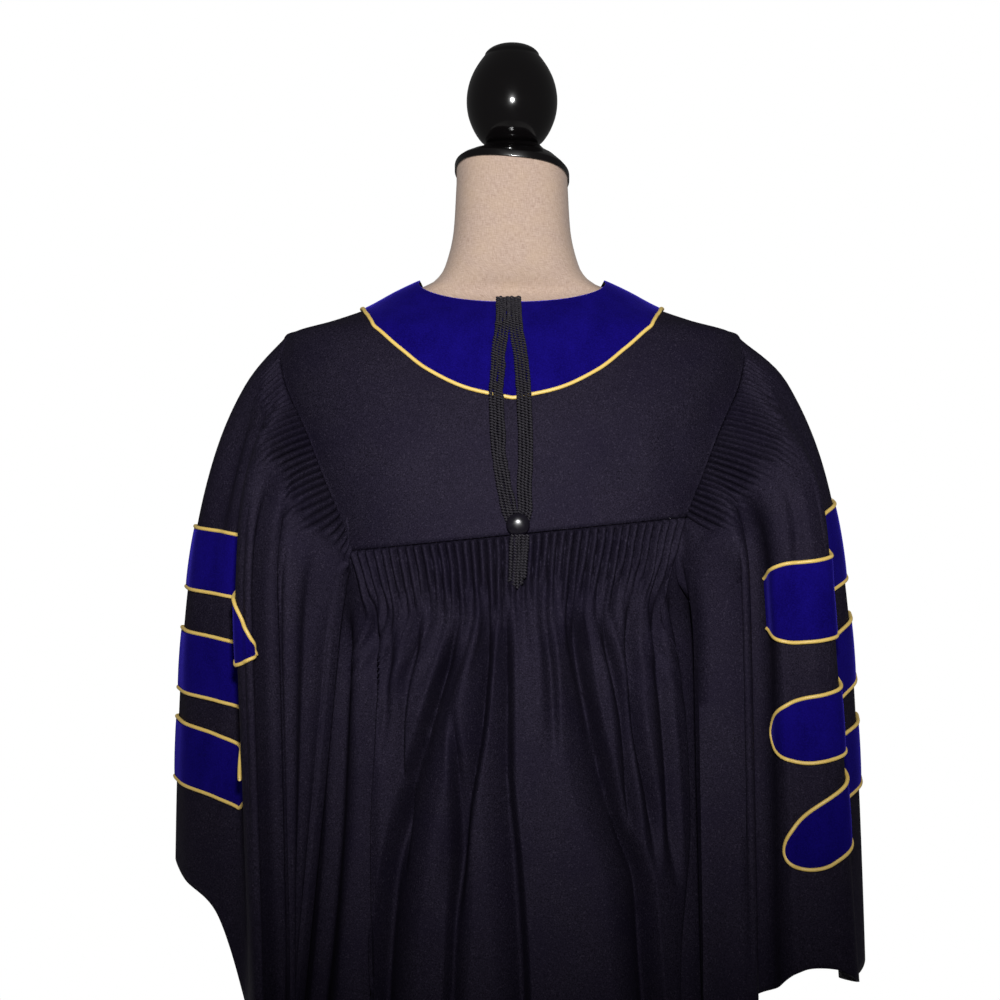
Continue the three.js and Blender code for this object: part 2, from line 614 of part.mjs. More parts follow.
function backPlace({ top, z, low, lean = 1 }, row) {
  const last = BACK_ROWS.length - 1;
  const flutesEnd = z - BACK_ROWS[last] * BACK_FLUTE_LENGTH;
  const at =
    row <= last
      ? z - BACK_ROWS[row] * BACK_FLUTE_LENGTH
      : lerp(flutesEnd, HEM_Z, (row - last) / BACK_HANGING_ROWS);
  const hung = top * lerp(1, lean, smoothstep(z - at, 0, BACK_LEAN_FALL));
  return { z: at, angle: lerp(hung, low, smoothstep(BACK_SPREAD_Z - at, 0, BACK_SPREAD)) };
}

function backNet(distance, withCrests) {
  const rows = BACK_ROWS.length + BACK_HANGING_ROWS;
  return Array.from({ length: rows }, (_, row) =>
    BACK.map((column, at) => ({ column, at }))
      .filter(({ column }) => !column.crest || (withCrests && row < BACK_ROWS.length))
      .map(({ column, at }) => {
        const { angle, z } = backPlace(column, row);
        const lower = row === 0 ? z - SEAM : z;
        const swell = withCrests && column.crest ? BACK_FLUTE_DEPTH * FLUTE_SWELL[row] : 0;
        const point = gownPoint(angle, lower);
        return { at, point: moved(point, gownNormal(angle, lower), distance + swell) };
      }),
  );
}
add("back_panel", wall(backNet(0, true), backNet(-CLOTH, false)), blackCloth);

// Fronts: rows run from the front edge over the velvet's edge to the armhole or the side seam
const FRONT_ROWS = FRONT_SHARES.map((share) => armholePlace(share).z); // heights at the armhole
const FRONT_LOW_ROWS = [1000, 870, 730, 580, 430, 290, HEM_Z];
const VELVET_COLUMNS = 2;
const FRONT_COLUMNS = 6; // beside the velvet
const NECK_CURVE = 0.75;
const facingEdge = curveThrough(FACING_EDGE, "z", "half");

// Angle from the centre back of a point on the front, at a distance from the centre.
const frontAngle = (x, z) => Math.PI - angleAt(x, z);

// Distance of the front edge from the centre: the neckline, then the opening down the middle.
function frontEdge(z) {
  const share = clamp((z - NECK_FRONT_Z) / (NECK_SIDE_Z - NECK_FRONT_Z), 0, 1);
  return Math.max(figureHalf(NECK_SIDE_Z) * share ** NECK_CURVE, SEAM);
}

// The three rails of a front at one row: front edge, velvet edge, and armhole or side seam.
function frontRails(row) {
  if (row >= FRONT_ROWS.length) {
    const z = FRONT_LOW_ROWS[row - FRONT_ROWS.length];
    const angles = [frontAngle(frontEdge(z), z), frontAngle(facingEdge(z), z), SIDE];
    return angles.map((angle) => ({ angle, z }));
  }
  const arm = FRONT_ROWS[row];
  const share = (SHOULDER_Z - arm) / (SHOULDER_Z - UNDERARM_Z);
  const neck = lerp(NECK_SIDE_Z, UNDERARM_Z, share);
  const velvet = lerp(FACING_EDGE[0].z, UNDERARM_Z, share);
  return [
    { angle: frontAngle(frontEdge(neck), neck), z: neck },
    { angle: row === 0 ? SIDE : frontAngle(facingEdge(velvet), velvet), z: velvet },
    { angle: armholePlace(FRONT_SHARES[row]).angle, z: arm },
  ];
}

function frontPlace(row, column) {
  const [edge, velvet, side] = frontRails(row);
  const onVelvet = column <= VELVET_COLUMNS;
  const part = onVelvet ? column / VELVET_COLUMNS : (column - VELVET_COLUMNS) / FRONT_COLUMNS;
  const [from, to] = onVelvet ? [edge, velvet] : [velvet, side];
  return { angle: lerp(from.angle, to.angle, part), z: lerp(from.z, to.z, part) };
}

// Net of a front from its front edge out to a column, moved out, with its top and its far side
// drawn back from their seams. Built on the right, where the columns run from right to left.
function frontNet(lastColumn, distance, drawBack, sign) {
  const rows = Array.from({ length: FRONT_ROWS.length + FRONT_LOW_ROWS.length }, (_, row) =>
    Array.from({ length: lastColumn + 1 }, (_, at) => {
      const { angle, z } = frontPlace(row, at);
      const level = Math.min(z, NECK_SIDE_Z - 1);
      const point = moved(gownPoint(angle, z), gownNormal(angle, level), distance);
      return { at, point: point.setX(sign * Math.max(point.x, SEAM)) };
    }),
  );
  const draw = (from, towards, length) => {
    from.addScaledVector(towards.clone().sub(from).normalize(), length);
  };
  rows[0].forEach(({ point }, at) => draw(point, rows[1][at].point, SEAM));
  rows.forEach((row) => draw(row[lastColumn].point, row[lastColumn - 1].point, drawBack));
  return rows;
}

const ALL_COLUMNS = VELVET_COLUMNS + FRONT_COLUMNS;
for (const side of ["left", "right"]) {
  const sign = SIGN[side];
  const mirrored = side === "right";
  const front = (distance) => frontNet(ALL_COLUMNS, distance, SEAM, sign);
  const facing = (distance) => frontNet(VELVET_COLUMNS, distance, 0, sign);
  add(`front_${side}`, wall(front(0), front(-CLOTH), { mirrored }), blackCloth);
  add(`facing_${side}`, wall(facing(LAY + VELVET), facing(LAY), { mirrored }), blueVelvet);
  const edge = facing(0).map((row) => row[VELVET_COLUMNS].point);
  const edgeNormals = edge.map((_, row) => {
    const { angle, z } = frontPlace(row, VELVET_COLUMNS);
    return outwards(side, gownNormal(angle, z));
  });
  const path = besideEdge(edge, edgeNormals, PIPING_LAY, sign * PIPING_ROOM);
  path.points[0].lerp(path.points[1], 0.1);
  add(`facing_piping_${side}`, cordGeometry(path, CORD_SIDES), goldCord);
}

// Sleeves
const SLEEVE_TABLE = { left: SLEEVE_LEFT, right: SLEEVE_RIGHT };
const SLEEVE_ROWS = [0, 0.12, 0.45, 0.9, 1.6]; // rows near the armhole, in settling lengths
const SLEEVE_HANGING_ROWS = 5;
const HIGHEST_SPREAD = -0.4; // how far above the elbow the sleeve goes on narrowing

function sleeveCurves(side) {
  const columns = ["out", "depth", "outLow", "depthLow", "hem", "settle"];
  return Object.fromEntries(columns.map((name) => [name, ringThrough(SLEEVE_TABLE[side], name)]));
}

const SLEEVE = { left: sleeveCurves("left"), right: sleeveCurves("right") };

// Point of a sleeve a given fall below the armhole, with its outside along +X: each thread leaves
// the armhole and settles to its place in the hanging ring.
function sleevePoint(side, share, fall) {
  const curve = SLEEVE[side];
  const place = armholePlace(share);
  const start = figurePoint(place.angle, place.z);
  const z = place.z - fall;
  const down = Math.max((ELBOW_Z - z) / (ELBOW_Z - CUFF_Z), HIGHEST_SPREAD);
  const hanging = new THREE.Vector3(
    lerp(curve.out(share), curve.outLow(share), down),
    lerp(curve.depth(share), curve.depthLow(share), down),
    z,
  );
  const settled = 1 - Math.exp(-fall / curve.settle(share));
  return start.setZ(z).lerp(hanging, settled);
}

function sleeveNormal(side, share, fall) {
  const point = (at, below) => sleevePoint(side, at, below);
  return normalOf(point, share, Math.max(fall, 3), 0.004, 3);
}

const sleeveLength = (side, share) => armholePlace(share).z - SLEEVE[side].hem(share);

// Fall of each row of a sleeve's thread, from the armhole to the hem.
function sleeveFalls(side, share) {
  const near = SLEEVE_ROWS.map((row) => row * SLEEVE[side].settle(share));
  const length = sleeveLength(side, share);
  const hanging = Array.from({ length: SLEEVE_HANGING_ROWS }, (_, i) =>
    lerp(near.at(-1), length, (i + 1) / SLEEVE_HANGING_ROWS),
  );
  return [...near, ...hanging];
}

function sleeveNet(side, distance, withCrests) {
  const threads = SHARES[side].map((share, at) => {
    const crest = isFluted(share, side) && isCrest(at - FIRST_FLUTE);
    return { share, at, crest, falls: sleeveFalls(side, share) };
  });
  const rows = SLEEVE_ROWS.length + SLEEVE_HANGING_ROWS;
  const shows = ({ share, at, crest }, row) => {
    if (row === 0) return onSeam(share, at, side);
    return !crest || (withCrests && row < SLEEVE_ROWS.length);
  };
  return Array.from({ length: rows }, (_, row) =>
    threads
      .filter((thread) => shows(thread, row))
      .map(({ share, at, crest, falls }) => {
        const place = armholePlace(share);
        const seamNormal = figureNormal(place.angle, place.z);
        const normal = sleeveNormal(side, share, falls[row]);
        const point = sleevePoint(side, share, falls[row]);
        if (row === 0) {
          const onwards = sleevePoint(side, share, falls[1]).sub(point).normalize().add(seamNormal);
          point.addScaledVector(onwards.normalize(), 2 * SEAM);
        }
        const mitre = Math.max(2 * normal.dot(seamNormal) - 1, 0);
        if (row < 2) normal.addScaledVector(seamNormal, mitre).normalize();
        const swell = crest ? SLEEVE_FLUTE_DEPTH * FLUTE_SWELL[row] : 0;
        return { at, point: outwards(side, moved(point, normal, distance + swell)) };
      }),
  );
}

for (const side of ["left", "right"]) {
  const options = { ring: SHARES[side].length, mirrored: side === "right" };
  const sleeve = wall(sleeveNet(side, 0, true), sleeveNet(side, -CLOTH, false), options);
  add(`sleeve_${side}`, sleeve, blackCloth);
}

// Point on the sleeve's plain facets at a share and a height, between its threads and its rows.
function sleeveFacet(side, share, z) {
  const turn = share - Math.floor(share);
  const plain = SHARES[side].filter((at, i) => !(isFluted(at, side) && isCrest(i - FIRST_FLUTE)));
  const next = plain.findIndex((at) => at > turn);
  const [from, to] = next < 0 ? [plain.at(-1), 1] : [plain[next - 1], plain[next]];
  const onThread = (at) => {
    const start = armholePlace(at).z;
    const falls = sleeveFalls(side, at);
    const row = clamp(falls.findIndex((fall) => start - fall <= z) - 1, 0, falls.length - 2);
    const upper = sleevePoint(side, at, falls[row]);
    const lower = sleevePoint(side, at, falls[row + 1]);
    return upper.lerp(lower, (upper.z - z) / (upper.z - lower.z));
  };
  return onThread(from).lerp(onThread(to), (turn - from) / (to - from));
}

// Velvet bars and the gold cord round each
const BAR_ROWS = 2;
const BAR_END = 0.985; // how far into its rounded tip a bar's last column stands
function barOutline(bar) {
  const middle = curveThrough(
    [
      { share: BAR_FRONT_SHARE, z: bar.outside - 8 },
      { share: 0, z: bar.outside },
      { share: DEEP_VALLEY[bar.side], z: bar.valley },
      { share: NEAR_RIDGE[bar.side], z: bar.ridge },
      { share: bar.share, z: bar.tip },
    ],
    "share",
    "z",
  );
  const half = (share) => {
    const tip = (share - bar.share + BAR_TIP_SHARE) / BAR_TIP_SHARE;
    const front = (BAR_FRONT_SHARE + BAR_TIP_SHARE - share) / BAR_TIP_SHARE;
    const end = clamp(Math.max(tip, front), 0, 1);
    return BAR_HALF * Math.sqrt(1 - end * end);
  };
  const threads = SHARES[bar.side].filter((at, i) => !(isFluted(at, bar.side) && isCrest(i - FIRST_FLUTE)));
  const shares = threads.map((at) => (at > 0.5 ? at - 1 : at)).sort(byNumber);
  const first = BAR_FRONT_SHARE + BAR_TIP_SHARE * (1 - BAR_END);
  const last = bar.share - BAR_TIP_SHARE * (1 - BAR_END);
  const margin = 0.003;
  const between = shares.filter((at) => at > first + margin && at < last - margin);
  return { middle, half, shares: [first, ...between, last] };
}

function barPoint(side, share, z, distance) {
  const fall = armholePlace(share).z - z;
  const normal = sleeveNormal(side, share, fall);
  return outwards(side, moved(sleeveFacet(side, share, z), normal, distance));
}

function barNet(bar, { middle, half, shares }, distance) {
  return Array.from({ length: BAR_ROWS + 1 }, (_, row) =>
    shares.map((share, at) => {
      const z = middle(share) + half(share) * lerp(1, -1, row / BAR_ROWS);
      return { at, point: barPoint(bar.side, share, z, distance) };
    }),
  );
}

// Path of the cord round a bar: along its upper edge to the tip, and back along its lower edge.
function barPipingPath({ side }, { middle, half, shares }) {
  const ends = [shares[0], shares.at(-1)].map((share) => ({ share, z: middle(share) }));
  const edge = (sign) => shares.map((share) => ({ share, z: middle(share) + sign * half(share) }));
  const start = { ...ends[0], z: ends[0].z + PIPING_RADIUS };
  const finish = { ...ends[0], z: ends[0].z - PIPING_RADIUS };
  const loop = [start, ...edge(1), ends[1], ...edge(-1).reverse(), finish];
  const points = loop.map(({ share, z }) => barPoint(side, share, z, 0));
  const normals = loop.map(({ share, z }) =>
    outwards(side, sleeveNormal(side, share, armholePlace(share).z - z)),
  );
  return besideEdge(points, normals, BAR_PIPING_LAY, SIGN[side] * BAR_PIPING_ROOM);
}

for (const bar of BARS) {
  const outline = barOutline(bar);
  const mirrored = bar.side === "right";
  const name = `${bar.side}_${bar.number}`;
  const net = (distance) => barNet(bar, outline, bar.lay + distance);
  const velvet = wall(net(VELVET), net(0), { mirrored });
  add(`bar_${name}`, velvet, blueVelvet);
  add(`bar_piping_${name}`, cordGeometry(barPipingPath(bar, outline), 4), goldCord);
}

// Braid over the collar and the yoke, and the button that holds its end
const BRAID_STEPS = 16;
const TAIL_LIFT = BACK_FLUTE_DEPTH + 1.2; // over the flutes under the seam

function stripNet(path, halfWidth, distance) {
  return path.map(({ x, z, lift }) =>
    [-halfWidth, halfWidth].map((offset, at) => {
      const angle = angleAt(x + offset, z);
      const normal = figureNormal(angle, z);
      return { at, point: moved(figurePoint(angle, z), normal, lift + distance) };
    }),
  );
}

const stripWall = (path, halfWidth) =>
  wall(stripNet(path, halfWidth, BRAID_THICKNESS), stripNet(path, halfWidth, 0));

const braidLift = curveThrough(BRAID, "z", "lift");
for (const side of ["left", "right"]) {
  const strand = curveThrough(BRAID, "z", side);
  const path = Array.from({ length: BRAID_STEPS + 1 }, (_, i) => {
    const z = lerp(BRAID[0].z, BRAID.at(-1).z, i / BRAID_STEPS);
    return { x: strand(z), z, lift: braidLift(z) };
  });
  add(`braid_${side}`, stripWall(path, BRAID_HALF), blackBraid);
}

const tailPath = Array.from({ length: 5 }, (_, i) => {
  const z = lerp(BUTTON_Z - BUTTON_RADIUS - SEAM, TAIL_END_Z, i / 4);
  return { x: BUTTON_X, z, lift: TAIL_LIFT };
});
add("braid_tail", stripWall(tailPath, TAIL_HALF), blackBraid);

// Closed turned shape: its profile gives radius and height, and it stands at a place on +Z.
function turned(profile, segments) {
  const points = profile.map(([radius, height]) => new THREE.Vector2(radius, height));
  return new THREE.LatheGeometry(points, segments).rotateX(SIDE);
}

const buttonProfile = [
  [0, 0],
  [0.3 * BUTTON_RADIUS, 0],
  [0.3 * BUTTON_RADIUS, 0.24 * BUTTON_HEIGHT],
  [0.85 * BUTTON_RADIUS, 0.24 * BUTTON_HEIGHT],
  [BUTTON_RADIUS, 0.45 * BUTTON_HEIGHT],
  [0.82 * BUTTON_RADIUS, 0.76 * BUTTON_HEIGHT],
  [0.45 * BUTTON_RADIUS, 0.95 * BUTTON_HEIGHT],
  [0, BUTTON_HEIGHT],
];
const buttonAngle = angleAt(BUTTON_X, BUTTON_Z);
const buttonSeat = figurePoint(buttonAngle, BUTTON_Z);
const button = turned(buttonProfile, 14).rotateX(SIDE);
button.translate(buttonSeat.x, buttonSeat.y - 2 * LAY, buttonSeat.z);
add("button", button, blackGloss);

// Dress form: the torso's rings, the gown's own shoulders drawn in, then the neck
const TORSO_COLUMNS = 24;
function torsoRings() {
  const shoulder = FIGURE.filter(({ z }) => z > SHOULDER_Z + 10 && z < NECK_SIDE_Z - 5).map(
    ({ z, half, back, front }) => ({
      z,
      half: half - SHOULDER_EASE,
      back: back - 2 * SHOULDER_EASE,
      front: front - 2 * SHOULDER_EASE,
    }),
  );
  return [...TORSO, ...shoulder.reverse(), ...NECK];
}

const capTilt = (x, y) => -CAP_TILT_BACK * y - CAP_TILT_LEFT * x;

const torsoRingPoints = torsoRings().map(({ z, half, back, front }) =>
  around(TORSO_COLUMNS, (angle) => ringPoint(angle, half, Math.cos(angle) > 0 ? back : front, z)),
);
const neckTop = around(TORSO_COLUMNS, (angle) => {
  const rim = ringPoint(angle, CAP_RADIUS - 1.5, CAP_RADIUS - 1.5, 0);
  return rim.setZ(NECK_TOP_Z + capTilt(rim.x, rim.y));
});
add("torso", lofted([...torsoRingPoints, neckTop]), linen);

// Neck cap: radius and rise above the neck's sloping top, which levels out towards the finial
const CAP = [
  { radius: CAP_RADIUS - 2, rise: SEAM, slope: 1 },
  { radius: CAP_RADIUS, rise: 2.5, slope: 1 },
  { radius: CAP_RADIUS - 3, rise: 7, slope: 0.9 },
  { radius: 48, rise: 17, slope: 0.55 },
  { radius: 37, rise: 24, slope: 0.2 },
  { radius: 31, rise: FINIAL_Z - NECK_TOP_Z, slope: 0 },
];
const capRings = CAP.map(({ radius, rise, slope }) =>
  around(TORSO_COLUMNS, (angle) => {
    const point = ringPoint(angle, radius, radius, 0);
    return point.setZ(NECK_TOP_Z + rise + slope * capTilt(point.x, point.y));
  }),
);
add("neck_cap", lofted(capRings), blackGloss);

// Finial: a turned egg with a small raised disc on its top
const FINIAL = [
  [0, 0],
  [30, 0],
  [41, 14],
  [48.5, 32],
  [50.5, 50],
  [48, 67],
  [42, 82],
  [33, 96],
  [30.5, 99],
  [30.5, 103],
  [20, 109],
  [0, 112],
];
add("finial", turned(FINIAL, 20).translate(0, 0, FINIAL_Z + SEAM), blackGloss);

// Stand
const poleLength = TORSO[0].z - BASE_HEIGHT - 2 * SEAM;
const pole = turned([[0, 0], [POLE_RADIUS, 0], [POLE_RADIUS, poleLength], [0, poleLength]], 12);
add("pole", pole.translate(0, 0, BASE_HEIGHT + SEAM), blackGloss);

const BASE = [
  [0, 0],
  [BASE_RADIUS - 4, 0],
  [BASE_RADIUS, 4],
  [BASE_RADIUS, 10],
  [BASE_RADIUS - 10, 16],
  [0.35 * BASE_RADIUS, BASE_HEIGHT - 4],
  [0.2 * BASE_RADIUS, BASE_HEIGHT],
  [0, BASE_HEIGHT],
];
add("base", turned(BASE, 28), blackGloss);

export default gown;
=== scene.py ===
import bmesh
import bpy
import numpy as np
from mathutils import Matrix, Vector


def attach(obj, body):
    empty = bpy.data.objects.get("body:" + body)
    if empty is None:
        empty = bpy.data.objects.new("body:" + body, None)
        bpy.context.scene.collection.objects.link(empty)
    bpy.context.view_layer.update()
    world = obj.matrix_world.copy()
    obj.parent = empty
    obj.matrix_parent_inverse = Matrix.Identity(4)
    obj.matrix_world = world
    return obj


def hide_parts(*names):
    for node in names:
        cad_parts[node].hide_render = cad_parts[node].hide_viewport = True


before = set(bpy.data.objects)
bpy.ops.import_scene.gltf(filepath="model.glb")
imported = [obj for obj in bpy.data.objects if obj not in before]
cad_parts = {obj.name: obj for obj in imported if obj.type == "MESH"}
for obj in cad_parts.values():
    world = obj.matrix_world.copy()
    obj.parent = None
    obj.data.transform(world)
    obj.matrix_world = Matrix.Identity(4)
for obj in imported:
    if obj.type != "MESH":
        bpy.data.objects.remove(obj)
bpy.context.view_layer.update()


# Stand: a round steel plate with a rolled rim, and a steel pole that stands in its middle and
# carries the form. Both are sprayed with black gloss enamel. Lengths in this file are in mm.
BASE_PROFILE = [[0, 26], [43, 26], [75, 22], [205, 16], [215, 10], [215, 4], [211, 0], [0, 0]]
POLE_PROFILE = [[0, 849.7], [14, 849.7], [14, 26.3], [0, 26.3]]
BASE_ROUNDING = 3
POLE_ROUNDING = 0.8
BASE_SEGMENTS = 96
POLE_SEGMENTS = 48
SHARP_EDGE = np.radians(70)


def rounded(profile, radius, steps=7):
    """Profile with its corners eased: each inner corner becomes the parabola from a point a radius
    before it to one a radius after it, or half a span where that is shorter."""
    profile = np.asarray(profile, float)
    before, corner, after = profile[:-2], profile[1:-1], profile[2:]
    back, on = before - corner, after - corner
    back_length = np.linalg.norm(back[:, :2], axis=1, keepdims=True)
    on_length = np.linalg.norm(on[:, :2], axis=1, keepdims=True)
    start = corner + back * np.minimum(radius / back_length, 0.5)
    end = corner + on * np.minimum(radius / on_length, 0.5)
    t = np.linspace(0, 1, steps)[None, :, None]
    curve = (1 - t) ** 2 * start[:, None] + 2 * t * (1 - t) * corner[:, None] + t**2 * end[:, None]
    return np.vstack([profile[:1], curve.reshape(-1, profile.shape[1]), profile[-1:]])


def revolve(profile, segments):
    """Grid of a profile of (radius, height) turned about Z: x = r sin a and y = -r cos a."""
    profile = np.asarray(profile, float)
    angle = np.linspace(0, 2 * np.pi, segments, endpoint=False)
    radius, height = profile[:, :1], profile[:, 1:2]
    flat = np.zeros_like(angle)
    return np.stack([radius * np.sin(angle), -radius * np.cos(angle), height + flat], -1)


def grid_object(name, points, ring=False, poles=False):
    """Object with a face between each four neighbours of a grid of points. Rows run down and columns
    run to the right, as seen from outside. A ring's last column joins its first, and poles are end
    rows drawn to a point. The UV map holds the lengths along the rows and the columns, in metres."""
    rows, columns = points.shape[:2]
    number = np.arange(rows * columns).reshape(rows, columns)
    spread = points
    if ring:
        number = np.hstack([number, number[:, :1]])
        spread = np.concatenate([points, points[:, :1]], 1)
    corners = [(slice(None, -1), slice(None, -1)), (slice(1, None), slice(None, -1)),
               (slice(1, None), slice(1, None)), (slice(None, -1), slice(1, None))]
    faces = np.stack([number[corner] for corner in corners], -1).reshape(-1, 4)
    across = np.linalg.norm(np.diff(spread, axis=1, prepend=spread[:, :1]), axis=2).cumsum(1)
    down = np.linalg.norm(np.diff(spread, axis=0, prepend=spread[:1]), axis=2).cumsum(0)
    lengths = np.stack([across - across[:, -1:] / 2, down], -1) / 1000
    mesh = bpy.data.meshes.new(name)
    mesh.from_pydata((points.reshape(-1, 3) / 1000).tolist(), [], faces.tolist())
    uv = np.stack([lengths[corner] for corner in corners], 2)
    mesh.uv_layers.new(name="lengths").data.foreach_set("uv", uv.ravel())
    if poles:
        welded = bmesh.new()
        welded.from_mesh(mesh)
        bmesh.ops.remove_doubles(welded, verts=welded.verts, dist=1e-6)
        welded.to_mesh(mesh)
        welded.free()
    mesh.shade_smooth()
    mesh.set_sharp_from_angle(angle=SHARP_EDGE)
    made = bpy.data.objects.new(name, mesh)
    bpy.context.scene.collection.objects.link(made)
    return made


def linear(code):
    """sRGB hex colour as linear red, green, blue and an alpha of 1."""
    value = np.array([int(code[i : i + 2], 16) for i in (1, 3, 5)]) / 255
    value = np.where(value <= 0.04045, value / 12.92, ((value + 0.055) / 1.055) ** 2.4)
    return (*value.tolist(), 1.0)


def add_node(material, kind, inputs=None, **settings):
    """Add a shader node with its settings; each input is a value, or a socket to link from."""
    made = material.node_tree.nodes.new("ShaderNode" + kind)
    for name, value in settings.items():
        setattr(made, name, value)
    for name, value in (inputs or {}).items():
        if isinstance(value, bpy.types.NodeSocket):
            material.node_tree.links.new(value, made.inputs[name])
        else:
            made.inputs[name].default_value = value
    return made


def bare_material(name):
    """New material with an empty node tree."""
    made = bpy.data.materials.new(name)
    made.use_nodes = True
    made.node_tree.nodes.clear()
    return made


def fit(piece, material, slot, *nodes):
    """Give a piece its material, and let it stand for its solids on the one rigid body. Its slot is not
    used.
    """
    piece.data.materials.append(material)
    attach(piece, "root")
    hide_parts(*nodes)


# Sprayed enamel on steel: black and glossy, with a faint ripple (about 9 mm) left by the spray.
enamel = bare_material("black_gloss_enamel_on_steel")
place = add_node(enamel, "TexCoord").outputs["Object"]
ripple = add_node(enamel, "TexNoise", {"Vector": place, "Scale": 1 / 0.009, "Detail": 2.0})
orange_peel = add_node(enamel, "Bump", {"Height": ripple.outputs[0], "Strength": 0.06, "Distance": 0.0004})
rough = add_node(enamel, "MapRange", {"Value": ripple.outputs[0], "To Min": 0.16, "To Max": 0.26})
coat = add_node(enamel, "BsdfPrincipled", {
    "Base Color": linear("#0b0b0d"), "Roughness": rough.outputs[0], "IOR": 1.5,
    "Normal": orange_peel.outputs[0]})
add_node(enamel, "OutputMaterial", {"Surface": coat.outputs[0]})

base_rings = revolve(rounded(BASE_PROFILE, BASE_ROUNDING), BASE_SEGMENTS)
base = grid_object("stand_base", base_rings, ring=True, poles=True)
fit(base, enamel, "stand_metal", "base")
pole_rings = revolve(rounded(POLE_PROFILE, POLE_ROUNDING), POLE_SEGMENTS)
pole = grid_object("stand_pole", pole_rings, ring=True, poles=True)
fit(pole, enamel, "stand_metal", "pole")


# Dress form: a moulded torso without limbs, covered in natural linen that is sewn in panels and
# pulled tight. Its neck is cut on a slant, higher at the back and on the left.
SQUARENESS = 0.3
# how far the hidden shoulders are set in under the gown; their depths are set in by twice that
SHOULDER_EASE = 7.4
FORM_SEGMENTS = 120
FORM_ROWS = 120
FORM_END_ROWS = 6
# height, half width, depth behind, depth in front
FORM = np.array([
    [850, 150, 92, 96], [870, 164, 104, 108], [960, 172, 110, 112], [1060, 150, 98, 104],
    [1150, 156, 102, 108], [1260, 176, 108, 112], [1340, 196, 98, 104], [1378, 200, 84, 90],
    [1398, 190, 74, 80],
    [1408, 187 - SHOULDER_EASE, 84 - 2 * SHOULDER_EASE, 92 - 2 * SHOULDER_EASE],
    [1421, 152 - SHOULDER_EASE, 73 - 2 * SHOULDER_EASE, 80 - 2 * SHOULDER_EASE],
    [1438, 125 - SHOULDER_EASE, 61 - 2 * SHOULDER_EASE, 63 - 2 * SHOULDER_EASE],
    [1452, 86, 54, 54], [1468, 74, 58, 58], [1510, 64, 60, 60], [1560, 61, 60, 60]])
NECK_TOP_Z = 1572
NECK_TOP_RADIUS = 60.5
CAP_TILT_BACK = 0.17
CAP_TILT_LEFT = 0.09


def cubic(x, y, slope, i, at):
    """Cubic on span i between two points with their slopes, held at its ends outside the span."""
    span = x[i + 1] - x[i]
    t = np.clip((at - x[i]) / span, 0, 1)
    u = 1 - t
    ends = u * u * (1 + 2 * t) * y[i] + t * t * (3 - 2 * t) * y[i + 1]
    return ends + span * t * u * (u * slope[i] - t * slope[i + 1])


def curve_through(x, y, at):
    """Cubic through points on each span, with slopes that are harmonic means of the rises beside
    each point and zero at a turn, so that it never overshoots. It is held flat past both ends."""
    order = np.argsort(x)
    x, y = np.asarray(x, float)[order], np.asarray(y, float)[order]
    rise = np.diff(y) / np.diff(x)
    before, after = np.append(rise[:1], rise), np.append(rise, rise[-1:])
    same_way = before * after > 0
    slope = np.where(same_way, 2 * before * after / np.where(same_way, before + after, 1), 0)
    return cubic(x, y, slope, np.clip(np.searchsorted(x, at) - 1, 0, len(x) - 2), at)


def ring_point(angle, half, depth, z):
    """Flattened ellipse: x = half sin a, y = -depth cos a (1 + squareness sin^2 a); a = 0 is behind."""
    across = np.sin(angle)
    along = np.cos(angle) * (1 + SQUARENESS * across**2)
    return np.stack(np.broadcast_arrays(half * across, -depth * along, z), -1)


def neck_top(angle, radius):
    """Point of the neck's sloping top at an angle and a radius."""
    point = ring_point(angle, radius, radius, 0.0)
    point[..., 2] = NECK_TOP_Z - CAP_TILT_BACK * point[..., 1] - CAP_TILT_LEFT * point[..., 0]
    return point


def form_grid():
    """Rings from the sloping top down to the flat foot, each read from the table at its own height,
    with both ends drawn in to a point."""
    angle = np.linspace(-np.pi, np.pi, FORM_SEGMENTS, endpoint=False)[None, :]
    top = neck_top(angle, NECK_TOP_RADIUS)
    down = np.linspace(0, 1, FORM_ROWS)[:, None]
    z = top[..., 2] + (FORM[0, 0] - top[..., 2]) * down
    half, behind, before = [curve_through(FORM[:, 0], column, z) for column in FORM.T[1:]]
    wall = ring_point(angle, half, np.where(np.cos(angle) > 0, behind, before), z)
    shrink = np.linspace(0, 1, FORM_END_ROWS)[:-1, None, None]
    lid = np.array([0, 0, NECK_TOP_Z]) + (wall[:1] - [0, 0, NECK_TOP_Z]) * shrink
    foot = np.array([0, 0, FORM[0, 0]]) + (wall[-1:] - [0, 0, FORM[0, 0]]) * shrink[::-1]
    return np.concatenate([lid, wall, foot])


# Natural linen, plain woven from uneven yarn: pale threads about 0.6 mm apart, drawn at 0.9 mm so
# that they show, each thick and thin along its length, with a few dark flecks and a soft matt face.
linen = bare_material("natural_linen_plain_weave")
thread = add_node(linen, "UVMap", uv_map="lengths").outputs[0]
upright = add_node(linen, "Mapping", {"Vector": thread, "Scale": (1 / 0.0009, 1 / 0.006, 1.0)})
lying = add_node(linen, "Mapping", {"Vector": thread, "Scale": (1 / 0.006, 1 / 0.0009, 1.0)})
warp = add_node(linen, "TexNoise", {"Vector": upright.outputs[0], "Scale": 1.0, "Detail": 2.0})
weft = add_node(linen, "TexNoise", {"Vector": lying.outputs[0], "Scale": 1.0, "Detail": 2.0})
weave = add_node(linen, "Math", {0: warp.outputs[0], 1: weft.outputs[0]}, operation="ADD")
patch = add_node(linen, "TexNoise", {"Vector": thread, "Scale": 1 / 0.03, "Detail": 3.0})
fleck = add_node(linen, "TexNoise", {"Vector": thread, "Scale": 1 / 0.0035, "Detail": 3.0, "Roughness": 0.7})
tone = linear("#a78c7d")
